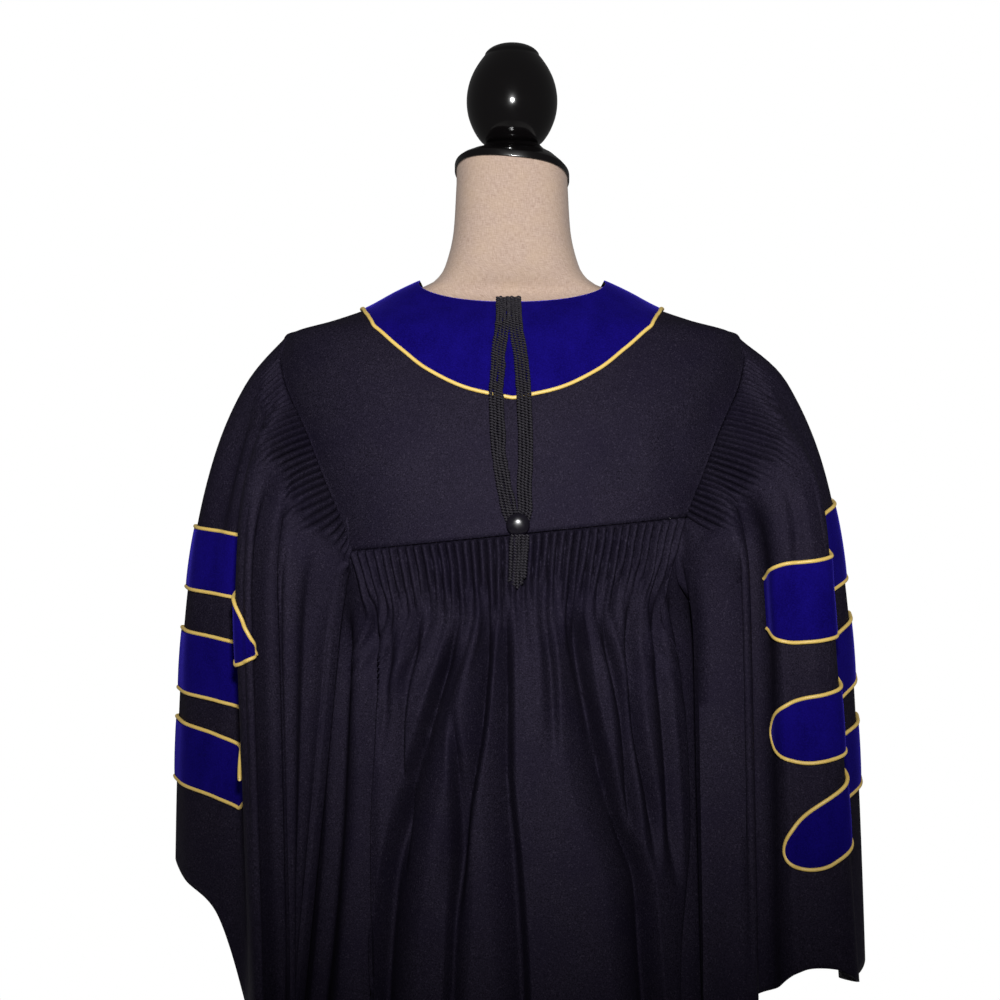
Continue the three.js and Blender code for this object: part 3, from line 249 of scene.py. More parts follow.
for layer, low, high, most, colour in (
        (weave, 0.6, 1.4, 1.0, "#d3bcac"), (patch, 0.4, 0.7, 0.35, "#c8ae93"),
        (fleck, 0.7, 0.78, 0.5, "#8f7257")):
    amount = add_node(linen, "MapRange", {
        "Value": layer.outputs[0], "From Min": low, "From Max": high, "To Max": most})
    mixed = add_node(linen, "Mix", {0: amount.outputs[0], 6: tone, 7: linear(colour)}, data_type="RGBA")
    tone = mixed.outputs[2]
threads = add_node(linen, "Bump", {"Height": weave.outputs[0], "Strength": 0.45, "Distance": 0.0005})
cover = add_node(linen, "BsdfPrincipled", {
    "Base Color": tone, "Roughness": 0.92, "Specular IOR Level": 0.2, "Sheen Weight": 0.1,
    "Sheen Roughness": 0.5, "Normal": threads.outputs[0]})
add_node(linen, "OutputMaterial", {"Surface": cover.outputs[0]})

form = grid_object("form_torso", form_grid(), ring=True, poles=True)
fit(form, linen, "linen_form", "torso")


# Neck cap and finial: turned hardwood under black gloss lacquer. The cap sits on the slanting neck
# and levels out, and the egg with its small raised disc is screwed on top of it.
# radius, rise above the neck's top, share of the neck's slope
CAP = [[0, 30, 0], [31, 30, 0], [37, 24, 0.2], [48, 17, 0.55], [59, 7, 0.9], [63, 2.5, 1],
       [63, -4.4, 1], [61.2, -4.4, 1], [61.2, 0.3, 1], [0, 0.3, 1]]
CAP_ROUNDING = 0.8
FINIAL_Z = 1602.3
# radius, rise above the cap
FINIAL = [[0, 112], [13, 111], [23, 107.5], [29.5, 102], [30, 98.5], [33, 95.5], [42, 82], [48, 67],
          [50.5, 50], [48.5, 32], [41, 14], [30, 0], [0, 0]]
FINIAL_ROUNDING = 9
FINIAL_SEGMENTS = 128


def cap_grid():
    """Rings of the cap: each keeps its share of the neck's slope."""
    radius, rise, slope = rounded(CAP, CAP_ROUNDING).T[:, :, None]
    angle = np.linspace(-np.pi, np.pi, FORM_SEGMENTS, endpoint=False)[None, :]
    point = neck_top(angle, radius)
    point[..., 2] = NECK_TOP_Z + rise + slope * (point[..., 2] - NECK_TOP_Z)
    return point


# Lacquered hardwood: nearly black, mirror-like, with a very slight waviness of about 14 mm.
lacquer = bare_material("black_lacquer_on_turned_hardwood")
place = add_node(lacquer, "TexCoord").outputs["Object"]
sag = add_node(lacquer, "TexNoise", {"Vector": place, "Scale": 1 / 0.014, "Detail": 2.0})
wavy = add_node(lacquer, "Bump", {"Height": sag.outputs[0], "Strength": 0.05, "Distance": 0.0005})
hazy = add_node(lacquer, "MapRange", {"Value": sag.outputs[0], "To Min": 0.08, "To Max": 0.2})
gloss = add_node(lacquer, "BsdfPrincipled", {
    "Base Color": linear("#0a0809"), "Roughness": hazy.outputs[0], "IOR": 1.5, "Coat Weight": 0.4,
    "Coat Roughness": 0.06, "Normal": wavy.outputs[0]})
add_node(lacquer, "OutputMaterial", {"Surface": gloss.outputs[0]})

cap = grid_object("form_neck_cap", cap_grid(), ring=True, poles=True)
fit(cap, lacquer, "turned_wood", "neck_cap")
finial_rings = revolve(rounded(FINIAL, FINIAL_ROUNDING), FINIAL_SEGMENTS)
finial_rings[..., 2] += FINIAL_Z
finial = grid_object("form_finial", finial_rings, ring=True, poles=True)
fit(finial, lacquer, "turned_wood", "finial")


# Yoke: one flat piece of black gown cloth over the back and the shoulders, plain and smooth, that
# carries the gathered back and the sleeves along its seams.
CLOTH = 1.8
SEAM = 0.3
NECK_BACK_Z = 1421
NECK_SIDE_Z = 1452
SHOULDER_Z = 1393
UNDERARM_Z = 1092
HEM_Z = 150
YOKE_SEAM_Z = 1178
YOKE_SEAM_TILT = 0.1
# height, half width, depth behind, depth in front
FIGURE = np.array([
    [1452, 100, 48, 48], [1438, 128, 61, 63], [1421, 161, 73, 80], [1408, 198, 84, 92],
    [1393, 247, 95, 102], [1370, 257, 106, 112], [1342, 260, 116, 120], [1282, 254, 131, 128],
    [1233, 243, 138, 132], [1178, 228, 143, 135], [1092, 205, 150, 138], [1000, 214, 158, 143],
    [860, 222, 168, 153], [700, 235, 182, 168], [480, 275, 208, 192], [HEM_Z, 325, 236, 220]])
# height, distance of the armhole seam from the centre on the back, and on the front
ARMHOLE = np.array([
    [SHOULDER_Z, 247, 247], [1370, 249, 240], [1342, 243, 227], [1282, 215, 201], [1233, 195, 189],
    [1200, 181, 184], [1165, 169, 184], [1135, 170, 188], [1110, 183, 195], [UNDERARM_Z, 205, 205]])
SIGN = {"left": -1, "right": 1}
ARMHOLE_STEPS = 121
CORNER_SEARCH = (0.2, 0.42, 4001)
YOKE_SIDE_COLUMNS = 84
YOKE_SEAM_COLUMNS = 180
YOKE_ROWS = 48
YOKE_UNEVEN = 1.1
YOKE_ROLL = 1.1
YOKE_ROLL_WIDTH = 6
# start x, start height, end x, end height, width, depth of the soft dips in the yoke
YOKE_DIPS = [
    [150, 1390, 175, 1215, 16, 2.2], [-165, 1385, -150, 1230, 18, 1.8], [95, 1330, 130, 1200, 20, 1.6],
    [-70, 1310, -95, 1200, 22, 1.4], [40, 1300, 50, 1200, 18, 1.0]]


def lerp(start, end, share):
    """Straight from start to end."""
    return start + (end - start) * share


def smoothstep(value, span):
    """0 below 0, 1 above the span, and 3t^2 - 2t^3 between."""
    t = np.clip(value / span, 0, 1)
    return t * t * (3 - 2 * t)


def figure_half(z):
    """Half width of the gown at a height."""
    return curve_through(FIGURE[:, 0], FIGURE[:, 1], z)


def figure_point(angle, z):
    """Smooth surface of the gown round the figure, before its folds."""
    half, behind, before = [curve_through(FIGURE[:, 0], column, z) for column in FIGURE.T[1:]]
    return ring_point(angle, half, np.where(np.cos(angle) > 0, behind, before), z)


def angle_at(x, z):
    """Angle on the figure, from the centre line, of a distance from the centre."""
    return np.arcsin(np.clip(x / figure_half(z), -1, 1))


def armhole_angle(z, front):
    """Angle of the armhole seam at a height, on the back or the front branch."""
    inside = angle_at(curve_through(ARMHOLE[:, 0], ARMHOLE[:, 2 if front else 1], z), z)
    at_side = (z >= SHOULDER_Z) | (z <= UNDERARM_Z)
    return np.where(at_side, np.pi / 2, np.pi - inside if front else inside)


def length_along(path):
    """Length of a path up to each of its points."""
    return np.append(0, np.linalg.norm(np.diff(path, axis=0), axis=1).cumsum())


def armhole_height(part, front):
    """Height on one branch at a part of its length, from 0 at the shoulder to 1 at the underarm."""
    z = lerp(SHOULDER_Z, UNDERARM_Z, (1 - np.cos(np.linspace(0, np.pi, ARMHOLE_STEPS))) / 2)
    length = length_along(figure_point(armhole_angle(z, front), z))
    return curve_through(length / length[-1], z, part)


def armhole_place(share):
    """Angle and height at a share of the armhole: 0 at the shoulder, down the back to 0.5 at the
    underarm, and up the front to 1."""
    turn = np.asarray(share, float) % 1
    behind, before = armhole_height(2 * turn, False), armhole_height(2 - 2 * turn, True)
    behind_arm = turn <= 0.5
    angle = np.where(behind_arm, armhole_angle(behind, False), armhole_angle(before, True))
    return angle, np.where(behind_arm, behind, before)


def corner_share(sign):
    """Share of the armhole where the yoke seam meets it, found on a fine row of shares."""
    share = np.linspace(*CORNER_SEARCH)
    angle, z = armhole_place(share)
    above = z - YOKE_SEAM_Z - YOKE_SEAM_TILT * sign * figure_point(angle, z)[:, 0]
    return share[np.argmax(above <= 0)]


CORNER = {side: corner_share(sign) for side, sign in SIGN.items()}


def unit(way):
    """Vectors drawn out or in to a length of 1."""
    return way / np.maximum(np.linalg.norm(way, axis=-1, keepdims=True), 1e-9)


def grid_normals(points):
    """Unit normals of a grid: the way down crossed with the way to the right."""
    return unit(np.cross(np.gradient(points, axis=0), np.gradient(points, axis=1)))


def uneven(u, v, seed, waves=7):
    """Slow unevenness between about -1 and 1: a sum of sine waves with seeded ways and starts."""
    draw = np.random.default_rng(seed)
    ways, starts = draw.uniform(0, np.pi, waves), draw.uniform(0, 6.28, waves)
    total = 0
    for way, start, pace in zip(ways, starts, draw.uniform(0.6, 1.8, waves)):
        total = total + np.sin(pace * (np.cos(way) * u + np.sin(way) * v) + start)
    return total / waves**0.5


def neck_z(angle):
    """Height of the neckline on the back and the shoulders."""
    return lerp(NECK_BACK_Z, NECK_SIDE_Z, np.sin(angle) ** 2)


def yoke_columns():
    """Angle of each column at the neckline, and its angle and height at its lower end, from the left
    shoulder down the armhole, along the back seam and up to the right shoulder."""
    shares = [np.linspace(0, corner, YOKE_SIDE_COLUMNS)[:-1] for corner in CORNER.values()]
    left, right = [armhole_place(share) for share in shares]
    ends = armhole_place(CORNER["left"])[0], armhole_place(CORNER["right"])[0]
    middle = np.linspace(-ends[0], ends[1], YOKE_SEAM_COLUMNS)
    seam = YOKE_SEAM_Z + YOKE_SEAM_TILT * figure_half(YOKE_SEAM_Z) * np.sin(middle)
    angle = np.concatenate([-left[0], middle, right[0][::-1]])
    z = np.concatenate([left[1], seam, right[1][::-1]])
    low = figure_point(angle, z)
    step = np.linalg.norm(np.diff(low, axis=0, prepend=low[:1]), axis=1)
    return np.pi * (step.cumsum() / step.sum() - 0.5), angle, z


def yoke_grid():
    """Columns from the neckline to the seam, with slow unevenness, the soft dips, and an edge that
    rolls out a little over its turned seam."""
    top, low, end = yoke_columns()
    share = np.linspace(0, 1, YOKE_ROWS)[:, None]
    z = lerp(neck_z(top), end + SEAM, share)
    point = figure_point(lerp(top, low, share), z)
    normal = grid_normals(point)
    free = smoothstep(share - 0.5, 0.2) * smoothstep(1 - share, 0.25)
    lift = free * YOKE_UNEVEN * uneven(point[..., 0] / 55, z / 60, 3)
    for start_x, start_z, end_x, end_z, width, depth in YOKE_DIPS:
        along = np.clip((start_z - z) / (start_z - end_z), 0, 1)
        away = (point[..., 0] - lerp(start_x, end_x, along)) / width
        lift = lift - free * depth * np.sin(np.pi * along) * np.exp(-(away**2))
    lift = lift + YOKE_ROLL * np.exp(-(((end - z) / YOKE_ROLL_WIDTH) ** 2)) * smoothstep(share - 0.5, 0.2)
    return point + normal * lift[..., None]


# Black polyester gown cloth with a fine crepe grain of about 0.7 mm, drawn at 1.3 mm so that it
# shows: nearly black, with a broad violet gloss where it faces the light, and lighter specks where
# twisted yarns catch it.
crepe = bare_material("black_polyester_crepe")
place = add_node(crepe, "TexCoord").outputs["Object"]
grain = add_node(crepe, "TexNoise", {"Vector": place, "Scale": 1 / 0.0013, "Detail": 2.0, "Roughness": 0.6})
cloudy = add_node(crepe, "TexNoise", {"Vector": place, "Scale": 1 / 0.055, "Detail": 3.0})
speck = add_node(crepe, "TexNoise", {"Vector": place, "Scale": 1 / 0.0017, "Detail": 1.0})
tone = linear("#06050c")
for layer, low, high, most, colour in (
        (grain, 0.3, 0.7, 1.0, "#272331"), (cloudy, 0.4, 0.7, 0.5, "#130f1f"),
        (speck, 0.6, 0.74, 0.6, "#383341")):
    amount = add_node(crepe, "MapRange", {
        "Value": layer.outputs[0], "From Min": low, "From Max": high, "To Max": most})
    mixed = add_node(crepe, "Mix", {0: amount.outputs[0], 6: tone, 7: linear(colour)}, data_type="RGBA")
    tone = mixed.outputs[2]
pebble = add_node(crepe, "Bump", {"Height": grain.outputs[0], "Strength": 0.8, "Distance": 0.0005})
cloth = add_node(crepe, "BsdfPrincipled", {
    "Base Color": tone, "Roughness": 0.66, "Specular IOR Level": 0.14,
    "Specular Tint": linear("#e0cfff"), "Normal": pebble.outputs[0]})
add_node(crepe, "OutputMaterial", {"Surface": cloth.outputs[0]})


def shell(piece, thickness):
    """Give a cloth surface its wall, on the inside of the drawn face."""
    wall = piece.modifiers.new("wall", "SOLIDIFY")
    wall.thickness = thickness / 1000
    wall.offset = -1
    wall.use_rim = True


yoke = grid_object("gown_yoke", yoke_grid())
shell(yoke, CLOTH)
fit(yoke, crepe, "gown_cloth", "yoke")


# Gathered back: a wide panel of the same cloth, drawn up under the yoke in a row of rounded flutes
# that are stitched into its seam, and then falling in loose folds to the hem.
KNEE_Z = 700
HEM_SWELL = 0.9
VALLEY_EASE = 70
# start height, start x, end height, end x, width, depth of the soft valleys of the fronts, counted
# from the centre on each side
FRONT_VALLEYS = [[1250, 128, HEM_Z, 155, 14, 11], [1080, 165, HEM_Z, 215, 14, 12]]
# Folds of the back, each as its line's heights, its line's x, the width of its left and of its right
# side, and its depth: the narrow side falls steeply, as where one fold laps over the next. The same
# follows for the fronts.
BACK_FOLDS = [
    ([1112, 1000, 850, 500, HEM_Z], [-172, -181, -190, -225, -268], 7, 20, 16),
    ([1118, 983, 873, 733, 400, HEM_Z], [-144, -148, -154, -152, -175, -205], 26, 6, 20),
    ([1106, 1020, 930], [-121, -133, -136], 6, 16, 10),
    ([1116, 973, 903, 820], [-91, -117, -117, -119], 20, 6, 15),
    ([1096, 1008, 903, 843, 743, 420, HEM_Z], [-56, -83, -116, -128, -138, -150, -165], 6, 40, 29),
    ([1010, 873, 733, 420, HEM_Z], [-62, -58, -63, -75, -88], 6, 18, 15),
    ([1114, 983, 893, 780], [-22, -33, -48, -60], 26, 6, 23),
    ([1112, 943, 843, 733, 400, HEM_Z], [-6, -6, 2, 9, 20, 28], 30, 5, 20),
    ([1110, 1030, 940], [32, 40, 42], 16, 7, 9),
    ([1122, 998, 903, 823, 733, 450, HEM_Z], [60, 82, 107, 137, 144, 165, 190], 44, 6, 30),
    ([1116, 973, 903, 830], [88, 117, 122, 132], 15, 6, 16),
    ([1122, 983, 873, 823], [119, 129, 147, 146], 15, 6, 17),
    ([1136, 1040, 930, 800], [146, 155, 164, 170], 18, 7, 14),
    ([1130, 1058, 973, 883, 733, 420, HEM_Z], [160, 178, 188, 192, 180, 200, 230], 7, 24, 18),
    ([700, 480, HEM_Z], [-112, -122, -128], 8, 26, 16), ([720, 480, HEM_Z], [66, 74, 88], 26, 8, 15),
    ([780, 520, HEM_Z], [212, 240, 275], 24, 8, 16)]
FRONT_FOLDS = [
    ([1290, 1160, 1020], [150, 140, 132], 20, 7, 5), ([1240, 1100, 940], [178, 166, 150], 7, 22, 6),
    ([1120, 940, 700], [190, 188, 186], 26, 7, 7), ([1000, 720, 380], [130, 132, 136], 7, 24, 7),
    ([900, 640, 260], [190, 214, 252], 28, 8, 8), ([760, 520, HEM_Z], [150, 162, 180], 8, 28, 9)]
FOLD_STEEPEST = 6.5
FOLD_ROUNDING = 2
FOLD_SHARPNESS = 1.6
FOLD_NARROW = 0.45
# falls over which a fold opens, grows to its width, and closes
FOLD_OPENS, FOLD_WIDENS, FOLD_CLOSES = 60, 200, 80
BACK_FLUTES = 42
FLUTE_COLUMNS = 8
MOST_FLUTES = 64
BACK_FLUTE_DEPTH = 7.5
BACK_FLUTE_LENGTH = 56
UNDERARM_GAP = 0.6
BACK_LOW_CORNER = np.radians(66)
BACK_LEAN = 0.985
BACK_LEAN_FALL = 30
BACK_SPREAD_Z = 1105
BACK_SPREAD = 130
BACK_SIDE_COLUMNS = 30
# rows in the seam, through the flutes, down to the thigh and on to the hem
BACK_ROWS = (6, 22, 62, 25)
BACK_SEAM_FALL = 8
BACK_FLUTE_ROWS_END = 1.4
BACK_THIGH = 0.42
BACK_GATHERS = 3.4
# falls over which the gathers below the flutes open and fade
GATHERS_OPEN, GATHERS_FADE = 30, 60
# waves across the back, how far they wobble, and the pace and the start of the wobble
GATHER_WAVES = [[19, 2, 3, 0], [11.3, 1.5, 5, 1]]
BACK_UNEVEN = 1.2
# share of a flute's length, share of its height
BACK_FLUTE_SWELL = np.array([[0, 0.15], [0.06, 1], [0.6, 1], [0.9, 0.75], [1.15, 0.25], [1.7, 0]])


def hem_swell(z):
    """How much wider a fold is at a height: 1 down to the knee, and growing from there to the hem."""
    return 1 + HEM_SWELL * np.clip((KNEE_Z - z) / (KNEE_Z - HEM_Z), 0, 1)


def valley_depth(table, x, z):
    """Depth of soft troughs: each is a bell across a slanting line, widening below the knee, and
    opens and closes over an easing length unless it runs out at the hem."""
    swell = hem_swell(z)
    total = np.zeros_like(x)
    for start_z, start_x, end_z, end_x, width, depth in table:
        share = np.clip((start_z - z) / (start_z - end_z), 0, 1)
        away = (x - lerp(start_x, end_x, share)) / (width * swell)
        opens = smoothstep(start_z - z, VALLEY_EASE)
        closes = smoothstep(z - end_z, VALLEY_EASE) if end_z > HEM_Z else 1
        total = total + depth * swell * opens * closes * np.exp(-(away**2))
    return total


def fold_depth(table, x, z):
    """Depth of folds: (1 - t)^sharpness away from a line through each fold's points, t being the
    share of the width on that side, with the line itself rounded. Folds start narrow, and widen
    again below the knee."""
    total = np.zeros_like(x)
    swell = hem_swell(z)
    for heights, places, left, right, depth in table:
        away = x - curve_through(heights, places, z)
        width = swell * np.where(away < 0, left, right)
        grown = lerp(FOLD_NARROW, 1, smoothstep(heights[0] - z, FOLD_WIDENS))
        width = np.maximum(width * grown, FOLD_STEEPEST)
        from_line = np.hypot(away, FOLD_ROUNDING) - FOLD_ROUNDING
        side = np.clip(1 - from_line / width, 0, 1) ** FOLD_SHARPNESS
        closes = smoothstep(z - heights[-1], FOLD_CLOSES) if heights[-1] > HEM_Z else 1
        total = total + depth * swell**0.5 * side * smoothstep(heights[0] - z, FOLD_OPENS) * closes
    return total


def gown_point(angle, z):
    """The figure's surface drawn in at its folds, which leave the side seams alone."""
    point = figure_point(angle, z)
    behind = np.cos(angle) > 0
    x = point[..., 0]
    back = fold_depth(BACK_FOLDS, x, z)
    front = valley_depth(FRONT_VALLEYS, abs(x), z) + fold_depth(FRONT_FOLDS, abs(x), z)
    inward = -point * [1, 1, 0]
    inward[..., 0] /= figure_half(z) ** 2
    inward[..., 1] /= curve_through(FIGURE[:, 0], FIGURE[:, 2], z) ** 2
    depth = np.where(behind, back, front) * (1 - abs(np.sin(angle)) ** 12)
    return point + unit(inward) * depth[..., None]


def back_columns():
    """Each column's angle and height at its seam, its angle once spread, how far it leans in under
    the yoke's corner, and its count of flutes, which is negative beside them."""
    sides = {}
    for side, sign in SIGN.items():
        part = np.linspace(0, 1, BACK_SIDE_COLUMNS + 1)[:-1]
        angle, z = armhole_place(lerp(0.5, CORNER[side], part))
        angle = angle - np.where(part > 0, UNDERARM_GAP / figure_half(z), 0)
        low = lerp(np.pi / 2, BACK_LOW_CORNER, part)
        sides[side] = np.stack([sign * angle, z, sign * low, np.ones_like(z), -np.ones_like(z)])
    corners = [figure_point(*armhole_place(CORNER[side]))[0] - UNDERARM_GAP for side in SIGN]
    ends = -corners[0], corners[1]
    count = np.linspace(0, BACK_FLUTES, FLUTE_COLUMNS * BACK_FLUTES + 1)
    x = lerp(*ends, count / BACK_FLUTES)
    z = YOKE_SEAM_Z + YOKE_SEAM_TILT * x
    low = lerp(-1, 1, count / BACK_FLUTES) * BACK_LOW_CORNER
    fluted = np.stack([angle_at(x, z), z, low, np.full_like(x, BACK_LEAN), count])
    return np.hstack([sides["left"], fluted, sides["right"][:, ::-1]])


def flute_wave(count, seed):
    """Rounded ridges with sharp valleys, |sin(pi n)|^0.8, and for each flute its own height and
    length, drawn from a seeded row of numbers."""
    draw = np.random.default_rng(seed)
    number = np.clip(count.astype(int), 0, MOST_FLUTES - 1)
    height = draw.uniform(0.78, 1.15, MOST_FLUTES)[number]
    length = draw.uniform(0.8, 1.3, MOST_FLUTES)[number]
    return np.where(count >= 0, height * abs(np.sin(np.pi * count)) ** 0.8, 0), length


def back_grid():
    """Columns fall from their seam, lean in, and spread out to the hem. The flutes swell just below
    the seam and die away, and smaller gathers run on below them."""
    top, start, low, lean, count = back_columns()
    end = BACK_FLUTE_ROWS_END * BACK_FLUTE_LENGTH
    seam, flutes, thigh, hem = BACK_ROWS
    near = np.append(np.linspace(0, BACK_SEAM_FALL, seam)[:-1], np.linspace(BACK_SEAM_FALL, end, flutes))
    far = np.append(np.linspace(0, BACK_THIGH, thigh)[1:], np.linspace(BACK_THIGH, 1, hem)[1:])
    z = np.vstack([start - near[:, None], lerp(start - end, HEM_Z, far[:, None])])
    fall = start - z
    hung = top * lerp(1, lean, smoothstep(fall, BACK_LEAN_FALL))
    angle = lerp(hung, low, smoothstep(BACK_SPREAD_Z - z, BACK_SPREAD))
    point = gown_point(angle, z - SEAM * (fall == 0))
    normal = grid_normals(point)
    bent = 0.1 * uneven(count / 2.5, fall / 14, 15) * smoothstep(fall, 20)
    wave, length = flute_wave(count + bent, 11)
    swell = curve_through(*BACK_FLUTE_SWELL.T, fall / BACK_FLUTE_LENGTH / length)
    sway = count / BACK_FLUTES * 2 * np.pi
    gathers = 0
    for waves, wobble, pace, start_at in GATHER_WAVES:
        gathers = gathers + 0.5 * np.sin(waves * sway + wobble * np.sin(pace * sway + start_at))
    fades = np.exp(-np.clip(fall - GATHERS_FADE, 0, None) / GATHERS_FADE)
    loose = smoothstep(fall - GATHERS_OPEN, GATHERS_OPEN) * fades * (count > 0)
    fade = smoothstep(count, 1.5) * smoothstep(BACK_FLUTES - count, 1.5)
    lift = BACK_FLUTE_DEPTH * wave * swell + BACK_GATHERS * gathers * loose * fade
    lift = lift + BACK_UNEVEN * smoothstep(fall - 100, 200) * uneven(point[..., 0] / 40, z / 170, 5)
    return point + normal * lift[..., None]


back = grid_object("gown_back", back_grid())
shell(back, CLOTH)
fit(back, crepe, "gown_cloth", "back_panel")


# Fronts: two plain panels that meet at the centre front and run up over the chest to the shoulder
# seam. They hang in soft folds beside the velvet.
NECK_FRONT_Z = 1320
NECK_CURVE = 0.75
FACING_HALF = 104
# height, distance of the velvet's outer edge from the centre
FACING_EDGE = np.array([
    [1420, 163], [1400, 154], [1350, 130], [1290, 112], [1200, FACING_HALF], [HEM_Z, FACING_HALF]])
FRONT_UPPER_ROWS = 64
FRONT_LOWER_ROWS = 58
FRONT_VELVET_COLUMNS = 22
FRONT_OPEN_COLUMNS = 72
FRONT_UNEVEN = 1.3


def front_rails():
    """Angle and height of the front edge, of the velvet's edge, and of the armhole or side seam, at
    each row from the shoulder down to the hem."""
    share = np.linspace(1, 0.5, FRONT_UPPER_ROWS)
    arm_angle, arm_z = armhole_place(share)
    arm_angle[0] = np.pi / 2
    part = (SHOULDER_Z - arm_z) / (SHOULDER_Z - UNDERARM_Z)
    low = np.linspace(UNDERARM_Z, HEM_Z, FRONT_LOWER_ROWS)[1:]
    edge_z = np.append(lerp(NECK_SIDE_Z, UNDERARM_Z, part), low)
    velvet_z = np.append(lerp(FACING_EDGE[0, 0], UNDERARM_Z, part), low)
    neck = np.clip((edge_z - NECK_FRONT_Z) / (NECK_SIDE_Z - NECK_FRONT_Z), 0, 1)
    edge_x = np.maximum(FIGURE[0, 1] * neck**NECK_CURVE, SEAM)
    edge = np.pi - angle_at(edge_x, edge_z)
    velvet = np.pi - angle_at(curve_through(FACING_EDGE[:, 0], FACING_EDGE[:, 1], velvet_z), velvet_z)
    velvet[0] = np.pi / 2
    side = np.append(arm_angle, np.full(len(low), np.pi / 2))
    return np.stack([edge, velvet, side]), np.stack([edge_z, velvet_z, np.append(arm_z, low)])


def front_grid(first, last, columns):
    """Angles and heights of rows that run straight from one rail to the next."""
    angle, z = front_rails()
    share = np.linspace(0, 1, columns)
    return [lerp(rail[first][:, None], rail[last][:, None], share) for rail in (angle, z)]


def front_object(name, point, lift, sign):
    """Object of a front's grid, moved out by a lift, kept off the centre by the seam, and put on its
    own side."""
    point = point + grid_normals(point[:, ::-1])[:, ::-1] * lift[..., None]
    point[..., 0] = sign * np.maximum(point[..., 0], SEAM)
    return grid_object(name, point if sign < 0 else point[:, ::-1])


for side, sign in SIGN.items():
    velvet_part, open_part = front_grid(0, 1, FRONT_VELVET_COLUMNS), front_grid(1, 2, FRONT_OPEN_COLUMNS)
    angle, z = [np.hstack([near, far[:, 1:]]) for near, far in zip(velvet_part, open_part)]
    point = gown_point(angle, z)
    free = FRONT_UNEVEN * smoothstep(1330 - z, 200) * smoothstep(np.pi - angle - 0.5, 0.3)
    lift = free * uneven(point[..., 0] / 35, z / 150, 21)
    front = front_object(f"gown_front_{side}", point, lift, sign)
    shell(front, CLOTH)
    fit(front, crepe, "gown_cloth", f"front_{side}")


# Bell sleeves: one wide piece each, gathered in flutes along the back of the armhole and open at the
# hem. The cloth falls in deep folds, and the outside hangs shorter than the inside.
SLEEVE_FLUTES = 32
SLEEVE_FLUTE_DEPTH = 5.5
SLEEVE_FLUTE_LENGTH = 30
SLEEVE_FLUTE_SLANT = 0.0006
SLANT_FALL = 60
SLANT_EASE = 0.06
SLEEVE_FLUTES_START = 0.05
SLEEVE_FLUTE_SEED = {"left": 31, "right": 37}
# share of a flute's length, share of its height
SLEEVE_FLUTE_SWELL = np.array([[0, 0.12], [0.08, 1], [0.6, 1], [0.95, 0.75], [1.15, 0.25], [1.5, 0]])
SLEEVE_BLOUSE = 3.5
SLEEVE_UNEVEN = 1.2
SLEEVE_HEAD_COLUMNS, SLEEVE_BACK_COLUMNS, SLEEVE_FRONT_COLUMNS = 13, 40, 84
# rows in the seam, while the cloth settles, and down to the hem
SLEEVE_ROWS = (5, 26, 64)
# ends of the first two in settling lengths
SLEEVE_SEAM_END, SLEEVE_SETTLED = 0.12, 1.6
# how far apart the surface is read for its normals, in shares and in falls
PROBE_SHARE, PROBE_FALL = 0.003, 3
ELBOW_Z = 1000
CUFF_Z = 700
HIGHEST_SPREAD = -0.4
# share of the armhole, distance out and depth at the elbow, the same at the cuff, hem height, and
# the fall over which the thread settles to its hanging place
SLEEVE = {
    "left": np.array([
        [0.0, 374, 10, 374, 10, 818, 135], [0.03, 356, -40, 352, -42, 805, 120],
        [0.065, 314, -68, 312, -72, 775, 95], [0.098, 280, -84, 280, -92, 692, 70],
        [0.128, 277, -146, 264, -150, 668, 48], [0.165, 261, -158, 250, -160, 655, 38],
        [0.2, 244, -142, 234, -143, 650, 36], [0.24, 230, -155, 222, -156, 648, 36],
        [0.3, 184, -128, 210, -132, 648, 40], [0.38, 219, -78, 236, -80, 650, 34],
        [0.5, 222, 0, 242, 0, 655, 34], [0.62, 222, 72, 238, 74, 670, 38],
        [0.72, 246, 116, 250, 122, 700, 60], [0.8, 290, 100, 292, 104, 740, 70],
        [0.88, 332, 108, 332, 112, 775, 95], [0.95, 366, 62, 366, 64, 806, 120]]),
    "right": np.array([
        [0.0, 384, 10, 386, 10, 722, 135], [0.03, 376, -38, 380, -40, 718, 120],
        [0.06, 350, -70, 364, -74, 712, 95], [0.085, 326, -92, 342, -96, 716, 70],
        [0.112, 332, -144, 352, -146, 726, 50], [0.15, 312, -158, 326, -160, 742, 40],
        [0.19, 276, -156, 288, -158, 738, 36], [0.22, 252, -137, 262, -138, 712, 36],
        [0.25, 236, -158, 240, -160, 695, 36], [0.3, 184, -128, 186, -156, 684, 40],
        [0.38, 219, -78, 228, -80, 680, 34], [0.5, 222, 0, 242, 0, 682, 34],
        [0.62, 222, 72, 238, 74, 690, 38], [0.72, 248, 116, 254, 122, 700, 60],
        [0.8, 296, 100, 302, 104, 708, 70], [0.88, 340, 108, 346, 112, 715, 95],
        [0.95, 375, 62, 378, 64, 720, 120]])}
